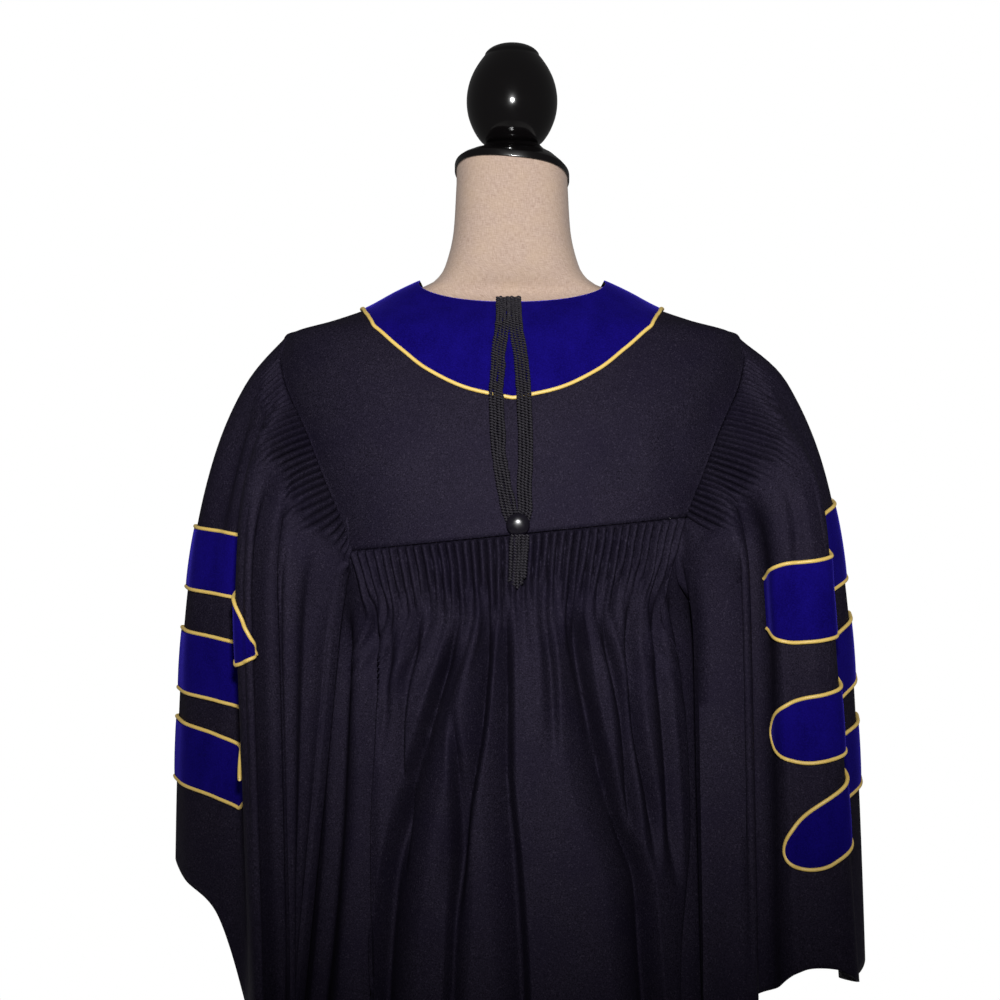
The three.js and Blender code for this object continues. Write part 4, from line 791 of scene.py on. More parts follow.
# Folds of each sleeve: the share of its line at its top and its bottom, its top and bottom height,
# its width in shares before and after the line, and its depth
SLEEVE_FOLDS = {
    "left": [
        (0.178, 0.175, 1250, 640, 0.006, 0.018, 6), (0.213, 0.205, 1225, 640, 0.022, 0.006, 10),
        (0.264, 0.262, 1180, 640, 0.006, 0.022, 12), (0.064, 0.055, 1335, 1190, 0.018, 0.008, 7),
        (0.15, 0.146, 1240, 900, 0.014, 0.006, 4), (0.236, 0.23, 1190, 760, 0.014, 0.005, 6),
        (0.285, 0.288, 1150, 700, 0.012, 0.005, 7),
        (0.3, 0.3, 1160, 640, 0.014, 0.006, 8), (0.44, 0.43, 1060, 640, 0.016, 0.007, 10),
        (0.56, 0.57, 1060, 640, 0.007, 0.016, 10), (0.67, 0.67, 1100, 680, 0.014, 0.006, 10),
        (0.84, 0.84, 1180, 760, 0.006, 0.016, 10)],
    "right": [
        (0.219, 0.232, 1290, 700, 0.016, 0.0045, 20), (0.268, 0.27, 1200, 680, 0.02, 0.006, 12),
        (0.19, 0.18, 1190, 720, 0.02, 0.007, 4), (0.132, 0.13, 1290, 1170, 0.008, 0.02, 4),
        (0.246, 0.25, 1210, 760, 0.006, 0.014, 7), (0.286, 0.284, 1150, 740, 0.012, 0.005, 7),
        (0.165, 0.172, 1260, 1150, 0.012, 0.006, 5),
        (0.3, 0.3, 1160, 680, 0.006, 0.014, 8), (0.44, 0.43, 1060, 680, 0.016, 0.007, 10),
        (0.56, 0.57, 1060, 680, 0.007, 0.016, 10), (0.67, 0.67, 1100, 690, 0.014, 0.006, 10),
        (0.84, 0.84, 1180, 700, 0.006, 0.016, 10)]}
SLEEVE_FOLD_START = 22
SLEEVE_FOLD_EASE = 90
# how far the head of each sleeve puffs out over the shoulder, and the share over which it does
SLEEVE_PUFF = {"left": 6, "right": 16}
SLEEVE_PUFF_WIDTH = 0.07


def ring_through(table, column, at):
    """Closed cubic through one column of a sleeve's table, its slopes taken between each point's two
    neighbours, with the shares running from 0 to 1 and round again."""
    share = np.concatenate([table[-2:, 0] - 1, table[:, 0], table[:3, 0] + 1])
    value = np.concatenate([table[-2:, column], table[:, column], table[:3, column]])
    slope = np.zeros_like(value)
    slope[1:-1] = (value[2:] - value[:-2]) / (share[2:] - share[:-2])
    turn = np.asarray(at, float) % 1
    return cubic(share, value, slope, np.searchsorted(share, turn, side="right") - 1, turn)


def sleeve_thread(side, share, fall):
    """Point of a sleeve a fall below the armhole, with its outside along +X: each thread leaves the
    armhole and settles to its place in the hanging ring by 1 - exp(-fall / settle)."""
    table = SLEEVE[side]
    angle, start_z = armhole_place(share)
    start = figure_point(angle, start_z)
    z = start_z - fall
    down = np.maximum((ELBOW_Z - z) / (ELBOW_Z - CUFF_Z), HIGHEST_SPREAD)
    out = lerp(ring_through(table, 1, share), ring_through(table, 3, share), down)
    depth = lerp(ring_through(table, 2, share), ring_through(table, 4, share), down)
    settled = 1 - np.exp(-fall / ring_through(table, 6, share))
    return np.stack([lerp(start[..., 0], out, settled), lerp(start[..., 1], depth, settled), z], -1)


def flute_slant(side, share, fall):
    """Shares by which a flute has drifted off its thread at a fall, so that it leaves square to the
    seam; it fades out past both ends of the fluted part."""
    starts = smoothstep(share - SLEEVE_FLUTES_START + SLANT_EASE / 2, SLANT_EASE)
    within = starts * smoothstep(CORNER[side] + SLANT_EASE - share, SLANT_EASE)
    return SLEEVE_FLUTE_SLANT * np.clip(fall, 0, SLANT_FALL) * within


def sleeve_surface(side, share, fall):
    """The hanging threads with their flutes and folds. The normal is the way along the share
    crossed with the way down, and the flutes die away over about two settling lengths."""
    share, fall = np.broadcast_arrays(np.asarray(share, float), np.asarray(fall, float))
    point = sleeve_thread(side, share, fall)
    low = np.maximum(fall, PROBE_FALL)
    along = sleeve_thread(side, share + PROBE_SHARE, low) - sleeve_thread(side, share - PROBE_SHARE, low)
    down = sleeve_thread(side, share, low + PROBE_FALL) - sleeve_thread(side, share, low - PROBE_FALL)
    normal = unit(np.cross(along, down))
    turn = share % 1
    slant = turn + flute_slant(side, turn, fall)
    count = (slant - SLEEVE_FLUTES_START) / (CORNER[side] - SLEEVE_FLUTES_START) * SLEEVE_FLUTES
    wave, length = flute_wave(np.clip(count + 10, 0, None), SLEEVE_FLUTE_SEED[side])
    past, before_corner = turn - SLEEVE_FLUTES_START, CORNER[side] - turn
    wave = wave * smoothstep(past + 0.02, 0.03) * smoothstep(before_corner + 0.015, 0.015)
    reach = fall / SLEEVE_FLUTE_LENGTH
    swell = curve_through(*SLEEVE_FLUTE_SWELL.T, reach / length)
    shoulder = lerp(0.6, 1, smoothstep(count - 1, 5))
    z = point[..., 2]
    lift = SLEEVE_FLUTE_DEPTH * wave * swell * shoulder
    blouse = smoothstep(reach - 0.75, 0.5) * np.exp(-np.clip(reach - 1.25, 0, None) / 1.4)
    lift = lift + SLEEVE_BLOUSE * blouse * smoothstep(past, 0.04) * smoothstep(before_corner + 0.02, 0.04)
    head = np.exp(-((((turn + 0.5) % 1 - 0.5) / SLEEVE_PUFF_WIDTH) ** 2))
    lift = lift + SLEEVE_PUFF[side] * (head * smoothstep(fall, 55) * np.exp(-fall / 90))
    for top, bottom, top_z, bottom_z, before, after, depth in SLEEVE_FOLDS[side]:
        away = (turn - lerp(top, bottom, np.clip((top_z - z) / (top_z - bottom_z), 0, 1)) + 0.5) % 1 - 0.5
        bell = np.exp(-((away / np.where(away < 0, before, after)) ** 2))
        opened = smoothstep(top_z - z, SLEEVE_FOLD_EASE) * smoothstep(z - bottom_z + 60, SLEEVE_FOLD_EASE)
        lift = lift - depth * smoothstep(fall - SLEEVE_FOLD_START, 50) * opened * bell
    rough = uneven(np.cos(2 * np.pi * turn) * 5, z / 120, 41) * smoothstep(turn, 0.02)
    lift = lift + SLEEVE_UNEVEN * smoothstep(fall - 60, 120) * rough
    return point + normal * lift[..., None], normal


def sleeve_falls(side, share):
    """Fall of each row of a thread: close rows near the armhole, then even ones down to the hem."""
    settle = ring_through(SLEEVE[side], 6, share)
    seam, settling, hem = SLEEVE_ROWS
    in_seam = np.linspace(0, SLEEVE_SEAM_END, seam)[:-1]
    near = np.append(in_seam, np.linspace(SLEEVE_SEAM_END, SLEEVE_SETTLED, settling))[:, None] * settle
    drifted = share - flute_slant(side, share, SLANT_FALL)
    length = armhole_place(drifted)[1] - ring_through(SLEEVE[side], 5, drifted)
    return np.vstack([near, lerp(SLEEVE_SETTLED * settle, length, np.linspace(0, 1, hem)[1:, None])])


for side, sign in SIGN.items():
    fluted = np.linspace(SLEEVE_FLUTES_START, CORNER[side], FLUTE_COLUMNS * SLEEVE_FLUTES + 1)
    share = np.concatenate([
        np.linspace(0, SLEEVE_FLUTES_START, SLEEVE_HEAD_COLUMNS)[:-1], fluted,
        np.linspace(CORNER[side], 0.5, SLEEVE_BACK_COLUMNS)[1:],
        np.linspace(0.5, 1, SLEEVE_FRONT_COLUMNS)[1:-1]])
    falls = sleeve_falls(side, share)
    point, _ = sleeve_surface(side, share - flute_slant(side, share, falls), falls)
    angle, z = armhole_place(share)
    point[0] += 2 * SEAM * unit(figure_point(angle, z) * [1, 1, 0])
    point[..., 0] *= sign
    sleeve = grid_object(f"gown_sleeve_{side}", point if sign < 0 else point[:, ::-1], ring=True)
    shell(sleeve, CLOTH)
    fit(sleeve, crepe, "gown_cloth", f"sleeve_{side}")


# Velvet collar: a shaped band of royal blue velvet laid on the yoke round the back of the neck, its
# pile brushed down, turned under at the neckline and sewn down along its outer edge.
VELVET = 1.6
LAY = 0.4
# angle from the centre back in degrees, height of the velvet's outer edge
COLLAR_EDGE = np.array([
    [0, 1317], [10, 1327], [20, 1348], [27, 1370], [34, 1390], [38, 1397.3], [41, 1400.6],
    [46, 1404.6], [52, 1408.8], [58, 1412.3], [66, 1416], [75, 1418.6], [90, 1420]])
COLLAR_COLUMNS = 220
COLLAR_ROWS = 38
COLLAR_SWELL = 0.8
COLLAR_UNEVEN = 0.35


def collar_edge_z(angle):
    """Height of the collar's outer edge at an angle from the centre back."""
    return curve_through(COLLAR_EDGE[:, 0], COLLAR_EDGE[:, 1], abs(np.degrees(angle)))


def collar_grid():
    """The yoke's surface from the neckline to the collar's edge, moved out by the velvet and its lay,
    swelling a little in the middle as a soft pile does."""
    angle = np.linspace(-np.pi / 2, np.pi / 2, COLLAR_COLUMNS)
    share = np.linspace(0, 1, COLLAR_ROWS)[:, None]
    z = lerp(neck_z(angle), collar_edge_z(angle), share)
    point = figure_point(angle, z)
    swell = COLLAR_SWELL * np.sin(np.pi * share) ** 0.5
    lift = LAY + VELVET + swell + COLLAR_UNEVEN * uneven(point[..., 0] / 30, z / 26, 9)
    return point + grid_normals(point) * lift[..., None]


# Cotton velvet dyed royal blue: a dense upright pile about 1.5 mm high, deep and matt from the front
# and paler where it is seen from the side or brushed the other way, in patches of about 25 mm.
velvet = bare_material("royal_blue_cotton_velvet")
place = add_node(velvet, "TexCoord").outputs["Object"]
brushed = add_node(velvet, "Mapping", {"Vector": place, "Scale": (1.0, 1.0, 0.45)})
nap = add_node(velvet, "TexNoise", {
    "Vector": brushed.outputs[0], "Scale": 1 / 0.022, "Detail": 4.0, "Roughness": 0.6})
tuft = add_node(velvet, "TexNoise", {"Vector": place, "Scale": 1 / 0.0014, "Detail": 1.0})
tone = linear("#0b0352")
for layer, low, high, most, colour in (
        (nap, 0.3, 0.9, 1.0, "#140a70"), (tuft, 0.35, 0.75, 0.35, "#1b128a")):
    amount = add_node(velvet, "MapRange", {
        "Value": layer.outputs[0], "From Min": low, "From Max": high, "To Max": most})
    mixed = add_node(velvet, "Mix", {0: amount.outputs[0], 6: tone, 7: linear(colour)}, data_type="RGBA")
    tone = mixed.outputs[2]
standing = add_node(velvet, "Math", {0: nap.outputs[0], 1: tuft.outputs[0]}, operation="ADD")
pile_bump = add_node(velvet, "Bump", {"Height": standing.outputs[0], "Strength": 0.4, "Distance": 0.0008})
pile = add_node(velvet, "BsdfPrincipled", {
    "Base Color": tone, "Roughness": 1.0, "Specular IOR Level": 0.05, "Sheen Weight": 0.35,
    "Sheen Roughness": 0.35, "Sheen Tint": linear("#5a4cff"), "Normal": pile_bump.outputs[0]})
add_node(velvet, "OutputMaterial", {"Surface": pile.outputs[0]})

collar = grid_object("gown_collar", collar_grid())
shell(collar, VELVET)
fit(collar, velvet, "velvet", "collar")


# Velvet facings: two long bands of the same velvet down the fronts, from the shoulder seam to the
# hem, laid on the front panels.
FACING_COLUMNS = 34
FACING_SWELL = 0.7
FACING_UNEVEN = 0.3

for side, sign in SIGN.items():
    angle, z = front_grid(0, 1, FACING_COLUMNS)
    point = gown_point(angle, z)
    swell = FACING_SWELL * np.sin(np.pi * np.linspace(0, 1, FACING_COLUMNS)) ** 0.5
    lift = LAY + VELVET + swell + FACING_UNEVEN * uneven(point[..., 0] / 30, z / 40, 13)
    facing = front_object(f"gown_facing_{side}", point, lift, sign)
    shell(facing, VELVET)
    fit(facing, velvet, "velvet", f"facing_{side}")


# Velvet bars: three bands of the velvet across the outside of each sleeve, rounded to a tip at both
# ends, following the sleeve's folds.
BAR_FRONT_SHARE = -0.13
BAR_FRONT_TAPER = 0.05
DEEP_VALLEY = {"left": 0.098, "right": 0.085}
NEAR_WALL = {"left": 0.106, "right": 0.112}
# side, number, middle height at the outside, in the deep valley, past the valley and at the tip, the
# tip's share of the armhole, half width, the share over which it tapers, how blunt the tip is (1 is
# pointed, 2 round), and the share at which a fold catches the bar before its tip
BARS = [
    ("left", 1, 1151, 1139, 1097, 1057, 0.18, 33, 0.05, 1, None),
    ("left", 2, 1040, 1025, 968, 930, 0.125, 33, 0.028, 1, None),
    ("left", 3, 942, 918, 830, 812, 0.1145, 33, 0.025, 1, 0.098),
    ("right", 1, 1172, 1144, 1117, 1106, 0.226, 40, 0.05, 2, 0.2145),
    ("right", 2, 1056, 1022, 993, 976, 0.213, 33, 0.05, 2, None),
    ("right", 3, 944, 922, 900, 860, 0.198, 33, 0.05, 2, None)]
BAR_FRONT_DROP = 8
BAR_COLUMNS = 130
BAR_ROWS = 18
BAR_LAY = 0.9
BAR_SWELL = 0.8


def bar_edges(side, outside, valley, past, tip, tip_share, widest, taper, blunt, caught):
    """Shares along a bar, closer towards its ends, with its middle height and its half width, which
    ends as (1 - t^blunt)^(1 / blunt) at the back, and as a half ellipse at the front."""
    share = lerp(BAR_FRONT_SHARE, caught or tip_share, (1 - np.cos(np.linspace(0, np.pi, BAR_COLUMNS))) / 2)
    knots = [BAR_FRONT_SHARE, 0, DEEP_VALLEY[side], NEAR_WALL[side], tip_share]
    middle = curve_through(knots, [outside - BAR_FRONT_DROP, outside, valley, past, tip], share)
    tip_way = np.clip((share - tip_share) / taper + 1, 0, 1)
    front_way = np.clip((BAR_FRONT_SHARE - share) / BAR_FRONT_TAPER + 1, 0, 1)
    return share, middle, widest * (1 - tip_way**blunt) ** (1 / blunt) * (1 - front_way**2) ** 0.5


def on_sleeve(side, share, z, lift):
    """Point of the sleeve at a share and a height, moved out along its normal."""
    point, normal = sleeve_surface(side, share, armhole_place(share)[1] - z)
    point = point + normal * np.asarray(lift)[..., None]
    return point * [SIGN[side], 1, 1], normal * [SIGN[side], 1, 1]


bar_outlines = {}
for side, number, *heights in BARS:
    share, middle, half = bar_edges(side, *heights)
    across = np.linspace(1, -1, BAR_ROWS)[:, None]
    z = middle + half * across
    lift = BAR_LAY + VELVET + BAR_SWELL * np.sqrt(1 - across**2) + 0 * z
    point, _ = on_sleeve(side, share + 0 * z, z, lift)
    bar = grid_object(f"gown_bar_{side}_{number}", point if side == "left" else point[:, ::-1])
    shell(bar, VELVET)
    fit(bar, velvet, "velvet", f"bar_{side}_{number}")
    loop_share = np.concatenate([share[::-1], share[1:]])
    loop_z = np.concatenate([(middle + half)[::-1], (middle - half)[1:]])
    edge, up = on_sleeve(side, loop_share, loop_z, np.zeros(len(loop_share)))
    whole = heights[-1] is None
    bar_outlines[side, number] = (edge[:-1], up[:-1], True) if whole else (edge, up, False)


# Gold piping: cotton cord covered in gold satin cut on the bias, sewn round the edge of every piece
# of velvet.
PIPING_RADIUS = 2.0
PIPING_LIFT = 2.2
PIPING_STEP = 2.5
COLLAR_PIPING_COLUMNS = 300
FACING_PIPING_COLUMNS = 84


def cord_grid(path, up, radius, closed=False, sides=12):
    """Round section carried along a path: rows run along it, and each ring stands square to it at
    r (cos t square + sin t across). An open cord's ends are drawn to a point."""
    ends = (path[-1:], path[:1]) if closed else (2 * path[:1] - path[1:2], 2 * path[-1:] - path[-2:-1])
    along = unit(np.gradient(np.concatenate([ends[0], path, ends[1]]), axis=0)[1:-1])
    across = unit(np.cross(along, up))
    square = np.cross(across, along)
    turn = -np.linspace(0, 2 * np.pi, sides, endpoint=False)[None, :, None]
    rings = path[:, None] + radius * (np.cos(turn) * square[:, None] + np.sin(turn) * across[:, None])
    if closed:
        return np.concatenate([rings, rings[:1]])
    return np.concatenate([0 * rings[:1] + path[:1, None], rings, 0 * rings[:1] + path[-1:, None]])


def even_path(path, up, spacing, closed):
    """Path and its normals read at even steps along its length."""
    line = np.concatenate([path, path[:1]]) if closed else path
    ways = np.concatenate([up, up[:1]]) if closed else up
    length = length_along(line)
    at = np.linspace(0, length[-1], int(length[-1] / spacing) + 1)
    at = at[:-1] if closed else at
    read = [np.stack([np.interp(at, length, column) for column in part.T], 1) for part in (line, ways)]
    return read[0], unit(read[1])


# Gold satin over cord: warm yellow with a soft shine, paler in soft patches of about 20 mm, and fine
# slanting threads (0.4 mm, drawn at 1.2 mm) whose bands carry a painted highlight of pale cream.
satin = bare_material("gold_satin_on_cord")
thread = add_node(satin, "UVMap", uv_map="lengths").outputs[0]
slant = add_node(satin, "Mapping", {"Vector": thread, "Rotation": (0, 0, 0.7)})
twill = add_node(satin, "TexWave", {
    "Vector": slant.outputs[0], "Scale": 1 / (0.0012 * 20 / np.pi / 2), "Distortion": 0.6},
    wave_type="BANDS", bands_direction="X")
worn = add_node(satin, "TexNoise", {"Vector": thread, "Scale": 1 / 0.02, "Detail": 2.0})
gold = add_node(satin, "Mix", {
    0: worn.outputs[0], 6: linear("#e6b440"), 7: linear("#fbdb76")}, data_type="RGBA")
# Painted highlight: up to a quarter of a pale cream highlight colour is mixed into the twill bands.
painted_highlight_amount = add_node(satin, "MapRange", {"Value": twill.outputs["Fac"], "To Max": 0.25})
gold_with_painted_highlight = add_node(satin, "Mix", {
    0: painted_highlight_amount.outputs[0], 6: gold.outputs[2], 7: linear("#fff0b4")}, data_type="RGBA")
ridges = add_node(satin, "Bump", {"Height": twill.outputs["Fac"], "Strength": 0.25, "Distance": 0.0002})
sheen = add_node(satin, "BsdfPrincipled", {
    "Base Color": gold_with_painted_highlight.outputs[2], "Roughness": 0.38, "Specular IOR Level": 0.6, "Sheen Weight": 0.1,
    "Sheen Tint": linear("#fff0b0"), "Normal": ridges.outputs[0]})
add_node(satin, "OutputMaterial", {"Surface": sheen.outputs[0]})

angle = np.linspace(-np.pi / 2, np.pi / 2, COLLAR_PIPING_COLUMNS)
edge = figure_point(angle, collar_edge_z(angle) + np.array([[1], [0], [-1]]))
up = grid_normals(edge)[1]
path, up = even_path(edge[1] + up * PIPING_LIFT, up, PIPING_STEP, False)
collar_piping = grid_object("gown_collar_piping", cord_grid(path, up, PIPING_RADIUS), ring=True, poles=True)
fit(collar_piping, satin, "gold_piping", "collar_piping")
for side, sign in SIGN.items():
    angle, z = front_grid(1, 2, FACING_PIPING_COLUMNS)
    edge = gown_point(angle, z)
    up = grid_normals(edge[:, ::-1])[:, -1] * [sign, 1, 1]
    path, up = even_path(edge[:, 0] * [sign, 1, 1] + up * PIPING_LIFT, up, PIPING_STEP, False)
    cord = cord_grid(path, up, PIPING_RADIUS)
    facing_piping = grid_object(f"gown_facing_piping_{side}", cord, ring=True, poles=True)
    fit(facing_piping, satin, "gold_piping", f"facing_piping_{side}")
for (side, number), (edge, up, closed) in bar_outlines.items():
    path, up = even_path(edge + up * PIPING_LIFT, up, PIPING_STEP, closed)
    cord = cord_grid(path, up, PIPING_RADIUS, closed)
    bar_piping = grid_object(f"gown_bar_piping_{side}_{number}", cord, ring=True, poles=True)
    fit(bar_piping, satin, "gold_piping", f"bar_piping_{side}_{number}")


# Gimp braid: a black cord wound over itself in small coils and sewn down in four rows to a strand. It
# runs from the button up to the neckline twice, and a short ragged tail hangs below the button.
COIL_RADIUS = 1.5
COIL_RISE = 1.1
COIL_CORD = 0.95
COIL_PITCH = 2.9
BRAID_ROW = 3.7
COIL_STEPS = 9
COIL_SIDES = 6
BRAID_STEPS = 200
BRAID_OFFSETS = BRAID_ROW * np.array([-1.5, -0.5, 0.5, 1.5])
BRAID_ROUGH = {"left": 0.22, "right": 0.12}
# height, left strand's and right strand's middle, lift off the yoke over the collar and its piping
BRAID = np.array([
    [1424, -9.7, 1.4, 3.4], [1400, -10.6, 2.4, 3.4], [1385, -11.6, 3.8, 3.4], [1370, -14, 6.8, 3.4],
    [1336, -16, 10, 4.0], [1317, -17, 11, 6.6], [1296, -16, 12, 3.8], [1262, -14.5, 13, 1.6],
    [1225, -8.5, 11.5, 1.2], [1204, -4, 12.5, 1.2], [1192, 0.5, 9.5, 1.2]])
TAIL_LIFT = 6.2
# x of each row of the tail at its top and its end, and the height of its end
TAIL_ROWS = [[-1, -3.5, 1131], [2.8, 0.5, 1126], [6.6, 4.5, 1124], [10.4, 8, 1128], [14, 11, 1134]]
TAIL_TOP_Z = 1177
TAIL_STEPS = 60
TAIL_ROUGH = 0.3


def on_back(x, z, lift):
    """Points of the back at a distance from the centre and a height, moved out, and their normals."""
    near = np.stack([z + 1, z, z - 1])
    strip = np.stack([figure_point(angle_at(x + side, near), near) for side in (-1, 0, 1)], 2)
    normal = unit(np.cross(strip[2, :, 1] - strip[0, :, 1], strip[1, :, 2] - strip[1, :, 0]))
    return strip[1, :, 1] + normal * np.asarray(lift)[..., None], normal


def braid_strand(column):
    """Middle line of one strand from the neckline down to the button, as x, height and lift."""
    z = np.linspace(BRAID[0, 0], BRAID[-1, 0], BRAID_STEPS)
    return curve_through(BRAID[:, 0], BRAID[:, column], z), z, curve_through(BRAID[:, 0], BRAID[:, 3], z)


def coil_rows(x, z, lift, offsets, seed, rough):
    """Coils along a line on the back: for each row, a cord that circles a parallel line once per
    pitch, wider across than it rises, with seeded unevenness in its width and its pace."""
    path, up = even_path(*on_back(x, z, lift), COIL_PITCH / COIL_STEPS, False)
    across = np.cross(unit(np.gradient(path, axis=0)), up)
    step = np.arange(len(path)) / COIL_STEPS
    grids = []
    for row, offset in enumerate(offsets):
        wide = 1 + rough * uneven(step * 1.3, 0 * step, seed + row)
        turn = 2 * np.pi * step + rough * 2 * uneven(step * 0.4, 0 * step, seed + 9 + row) + row * np.pi
        slack = offset + rough * 2 * uneven(step * 0.5, 0 * step, seed + 5 + row)
        side = (slack + COIL_RADIUS * wide * np.cos(turn))[:, None] * across
        rise = (COIL_CORD + COIL_RISE * (1 + wide * np.sin(turn)))[:, None] * up
        coil = path + side + rise
        outwards = np.cos(turn)[:, None] * across + np.sin(turn)[:, None] * up
        grids.append(cord_grid(coil, outwards, COIL_CORD, sides=COIL_SIDES))
    return grids


def joined(name, grids):
    """One object from several rings of cord."""
    parts = [grid_object(f"{name}_{i}", grid, ring=True, poles=True) for i, grid in enumerate(grids)]
    whole = bmesh.new()
    for part in parts:
        whole.from_mesh(part.data)
        bpy.data.meshes.remove(part.data)
    mesh = bpy.data.meshes.new(name)
    whole.to_mesh(mesh)
    whole.free()
    mesh.shade_smooth()
    made = bpy.data.objects.new(name, mesh)
    bpy.context.scene.collection.objects.link(made)
    return made


# Rayon gimp cord: black, slightly lustrous, of twisted threads about 0.5 mm thick, drawn at 0.9 mm.
gimp = bare_material("black_rayon_gimp_cord")
thread = add_node(gimp, "UVMap", uv_map="lengths").outputs[0]
slant = add_node(gimp, "Mapping", {"Vector": thread, "Rotation": (0, 0, 0.9)})
twist = add_node(gimp, "TexWave", {
    "Vector": slant.outputs[0], "Scale": 1 / (0.0009 * 20 / np.pi / 2), "Distortion": 1.0},
    wave_type="BANDS", bands_direction="X")
strands = add_node(gimp, "Mix", {
    0: twist.outputs["Fac"], 6: linear("#0c0b0f"), 7: linear("#38343d")}, data_type="RGBA")
twisted = add_node(gimp, "Bump", {"Height": twist.outputs["Fac"], "Strength": 0.4, "Distance": 0.0003})
yarn = add_node(gimp, "BsdfPrincipled", {
    "Base Color": strands.outputs[2], "Roughness": 0.55, "Specular IOR Level": 0.4,
    "Normal": twisted.outputs[0]})
add_node(gimp, "OutputMaterial", {"Surface": yarn.outputs[0]})

for column, (side, rough) in enumerate(BRAID_ROUGH.items(), 1):
    coils = coil_rows(*braid_strand(column), BRAID_OFFSETS, 50 + column, rough)
    fit(joined(f"gown_braid_{side}", coils), gimp, "braid", f"braid_{side}")
tail_grids = []
for row, (top_x, end_x, end_z) in enumerate(TAIL_ROWS):
    z = np.linspace(TAIL_TOP_Z, end_z, TAIL_STEPS)
    x = np.linspace(top_x, end_x, TAIL_STEPS)
    tail_grids += coil_rows(x, z, TAIL_LIFT + 0 * z, [0], 61 + 3 * row, TAIL_ROUGH)
tail = joined("gown_braid_tail", tail_grids)
fit(tail, gimp, "braid", "braid_tail")


# Button: a domed plastic button with a narrow rim, moulded in black and polished, sewn on by its
# shank where the two strands of braid meet.
BUTTON_X = 5
BUTTON_Z = 1188
BUTTON_RADIUS = 12.5
BUTTON_HEIGHT = 10
# share of the radius, share of the height
BUTTON = np.array([
    [0, 1], [0.45, 0.95], [0.82, 0.76], [1, 0.45], [0.85, 0.24], [0.3, 0.24], [0.3, 0], [0, 0]])
BUTTON_SEAT = 0.8
BUTTON_ROUNDING = 2.4
BUTTON_SEGMENTS = 72


def button_grid():
    """The turned profile, laid over so that its axis points straight back from the yoke."""
    profile = rounded(BUTTON * [BUTTON_RADIUS, BUTTON_HEIGHT], BUTTON_ROUNDING)
    turned = revolve(profile, BUTTON_SEGMENTS)
    seat = figure_point(angle_at(BUTTON_X, BUTTON_Z), np.array(float(BUTTON_Z)))[1] - BUTTON_SEAT
    return np.stack([BUTTON_X + turned[..., 0], seat - turned[..., 2], BUTTON_Z + turned[..., 1]], -1)


# Moulded plastic: black with a violet-grey bloom, polished, with fine scuffs of about 3 mm.
plastic = bare_material("black_polished_polyester_resin")
place = add_node(plastic, "TexCoord").outputs["Object"]
scuff = add_node(plastic, "TexNoise", {"Vector": place, "Scale": 1 / 0.003, "Detail": 4.0})
worn = add_node(plastic, "MapRange", {"Value": scuff.outputs[0], "To Min": 0.2, "To Max": 0.32})
bloom = add_node(plastic, "Mix", {
    0: scuff.outputs[0], 6: linear("#0b0a0f"), 7: linear("#18141f")}, data_type="RGBA")
resin = add_node(plastic, "BsdfPrincipled", {
    "Base Color": bloom.outputs[2], "Roughness": worn.outputs[0], "IOR": 1.5})
add_node(plastic, "OutputMaterial", {"Surface": resin.outputs[0]})

button = grid_object("gown_button", button_grid(), ring=True, poles=True)
fit(button, plastic, "button", "button")


# Floor, light and camera: a plain pale floor, a small soft light just above the camera as a flash
# gives, weak fills from both sides and the front, and the camera level with the shoulder blades.
FLOOR_RADIUS = 2000
FLOOR_ROWS = 9
FLOOR_SEGMENTS = 96
FLOOR_DROP = 0.5
CAMERA = np.array([-13.2, -1800, 1213])
FOCAL_LENGTH = 58.9
SENSOR_WIDTH = 36
floor_rings = revolve(np.linspace(0, FLOOR_RADIUS, FLOOR_ROWS)[:, None] * [1, 0], FLOOR_SEGMENTS)
floor = grid_object("studio_floor", floor_rings - [0, 0, FLOOR_DROP], ring=True, poles=True)
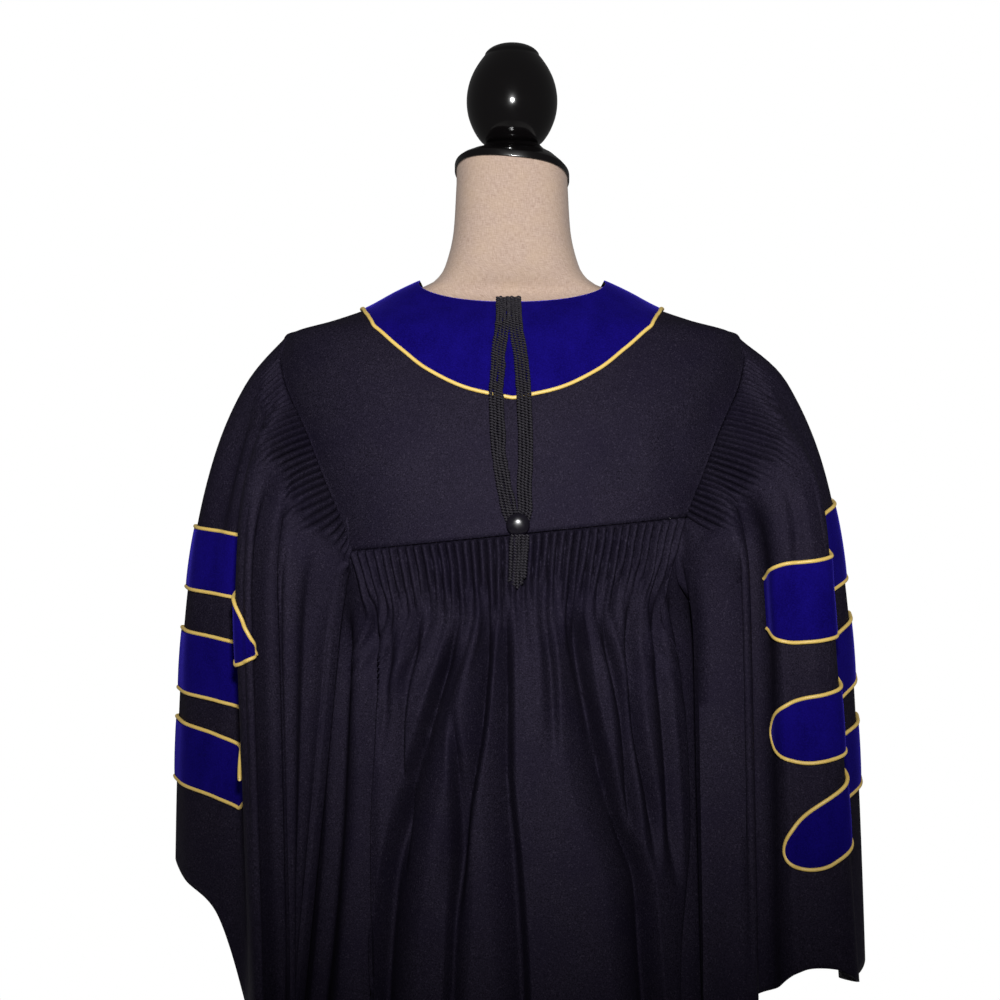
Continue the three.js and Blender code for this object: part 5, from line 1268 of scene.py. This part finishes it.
# Matt painted board: off-white, with a faint cloudiness of about 0.4 m.
board = bare_material("off_white_painted_board")
place = add_node(board, "TexCoord").outputs["Object"]
cloud = add_node(board, "TexNoise", {"Vector": place, "Scale": 1 / 0.4, "Detail": 2.0})
paint = add_node(board, "Mix", {
    0: cloud.outputs[0], 6: linear("#e6e4e0"), 7: linear("#f1efec")}, data_type="RGBA")
matt = add_node(board, "BsdfPrincipled", {"Base Color": paint.outputs[2], "Roughness": 0.85})
add_node(board, "OutputMaterial", {"Surface": matt.outputs[0]})
floor.data.materials.append(board)


def soft_light(name, kind, position, target, power, **settings):
    """Light of a kind, with a power in watts and its settings, aimed at a point."""
    lamp = bpy.data.lights.new(name, kind)
    lamp.energy = power
    for setting, value in settings.items():
        setattr(lamp, setting, value)
    made = bpy.data.objects.new(name, lamp)
    made.location = np.array(position) / 1000
    aim = Vector((np.array(target) - position).tolist())
    made.rotation_euler = aim.to_track_quat("-Z", "Y").to_euler()
    made.visible_glossy = kind == "SPOT"
    bpy.context.scene.collection.objects.link(made)


soft_light("flash", "SPOT", (20, -1720, 1560), (0, -120, 1370), 120,
           spot_size=np.radians(54), spot_blend=1.0, shadow_soft_size=0.06)
for way, position, power in (
        ("left", (-2600, 900, 1900), 16), ("right", (2600, 900, 1900), 16), ("front", (0, 2600, 1900), 34)):
    soft_light(f"fill_{way}", "AREA", position, (0, 0, 1000), power, size=1.4)

# The room is white to the eye, and lights the gown only weakly.
world = bpy.data.worlds.new("white_studio")
bpy.context.scene.world = world
world.use_nodes = True
world.node_tree.nodes.clear()
ray = add_node(world, "LightPath").outputs["Is Camera Ray"]
strength = add_node(world, "MapRange", {"Value": ray, "To Min": 0.07, "To Max": 1.0})
room = add_node(world, "Background", {"Color": (1, 1, 1, 1), "Strength": strength.outputs[0]})
add_node(world, "OutputWorld", {"Surface": room.outputs[0]})
bpy.context.scene.view_settings.view_transform = "Standard"

lens = bpy.data.cameras.new("photo_camera")
lens.lens = FOCAL_LENGTH
lens.sensor_width = SENSOR_WIDTH
camera = bpy.data.objects.new("photo_camera", lens)
camera.location = CAMERA / 1000
camera.rotation_euler = (np.pi / 2, 0, 0)
bpy.context.scene.collection.objects.link(camera)
bpy.context.scene.camera = camera
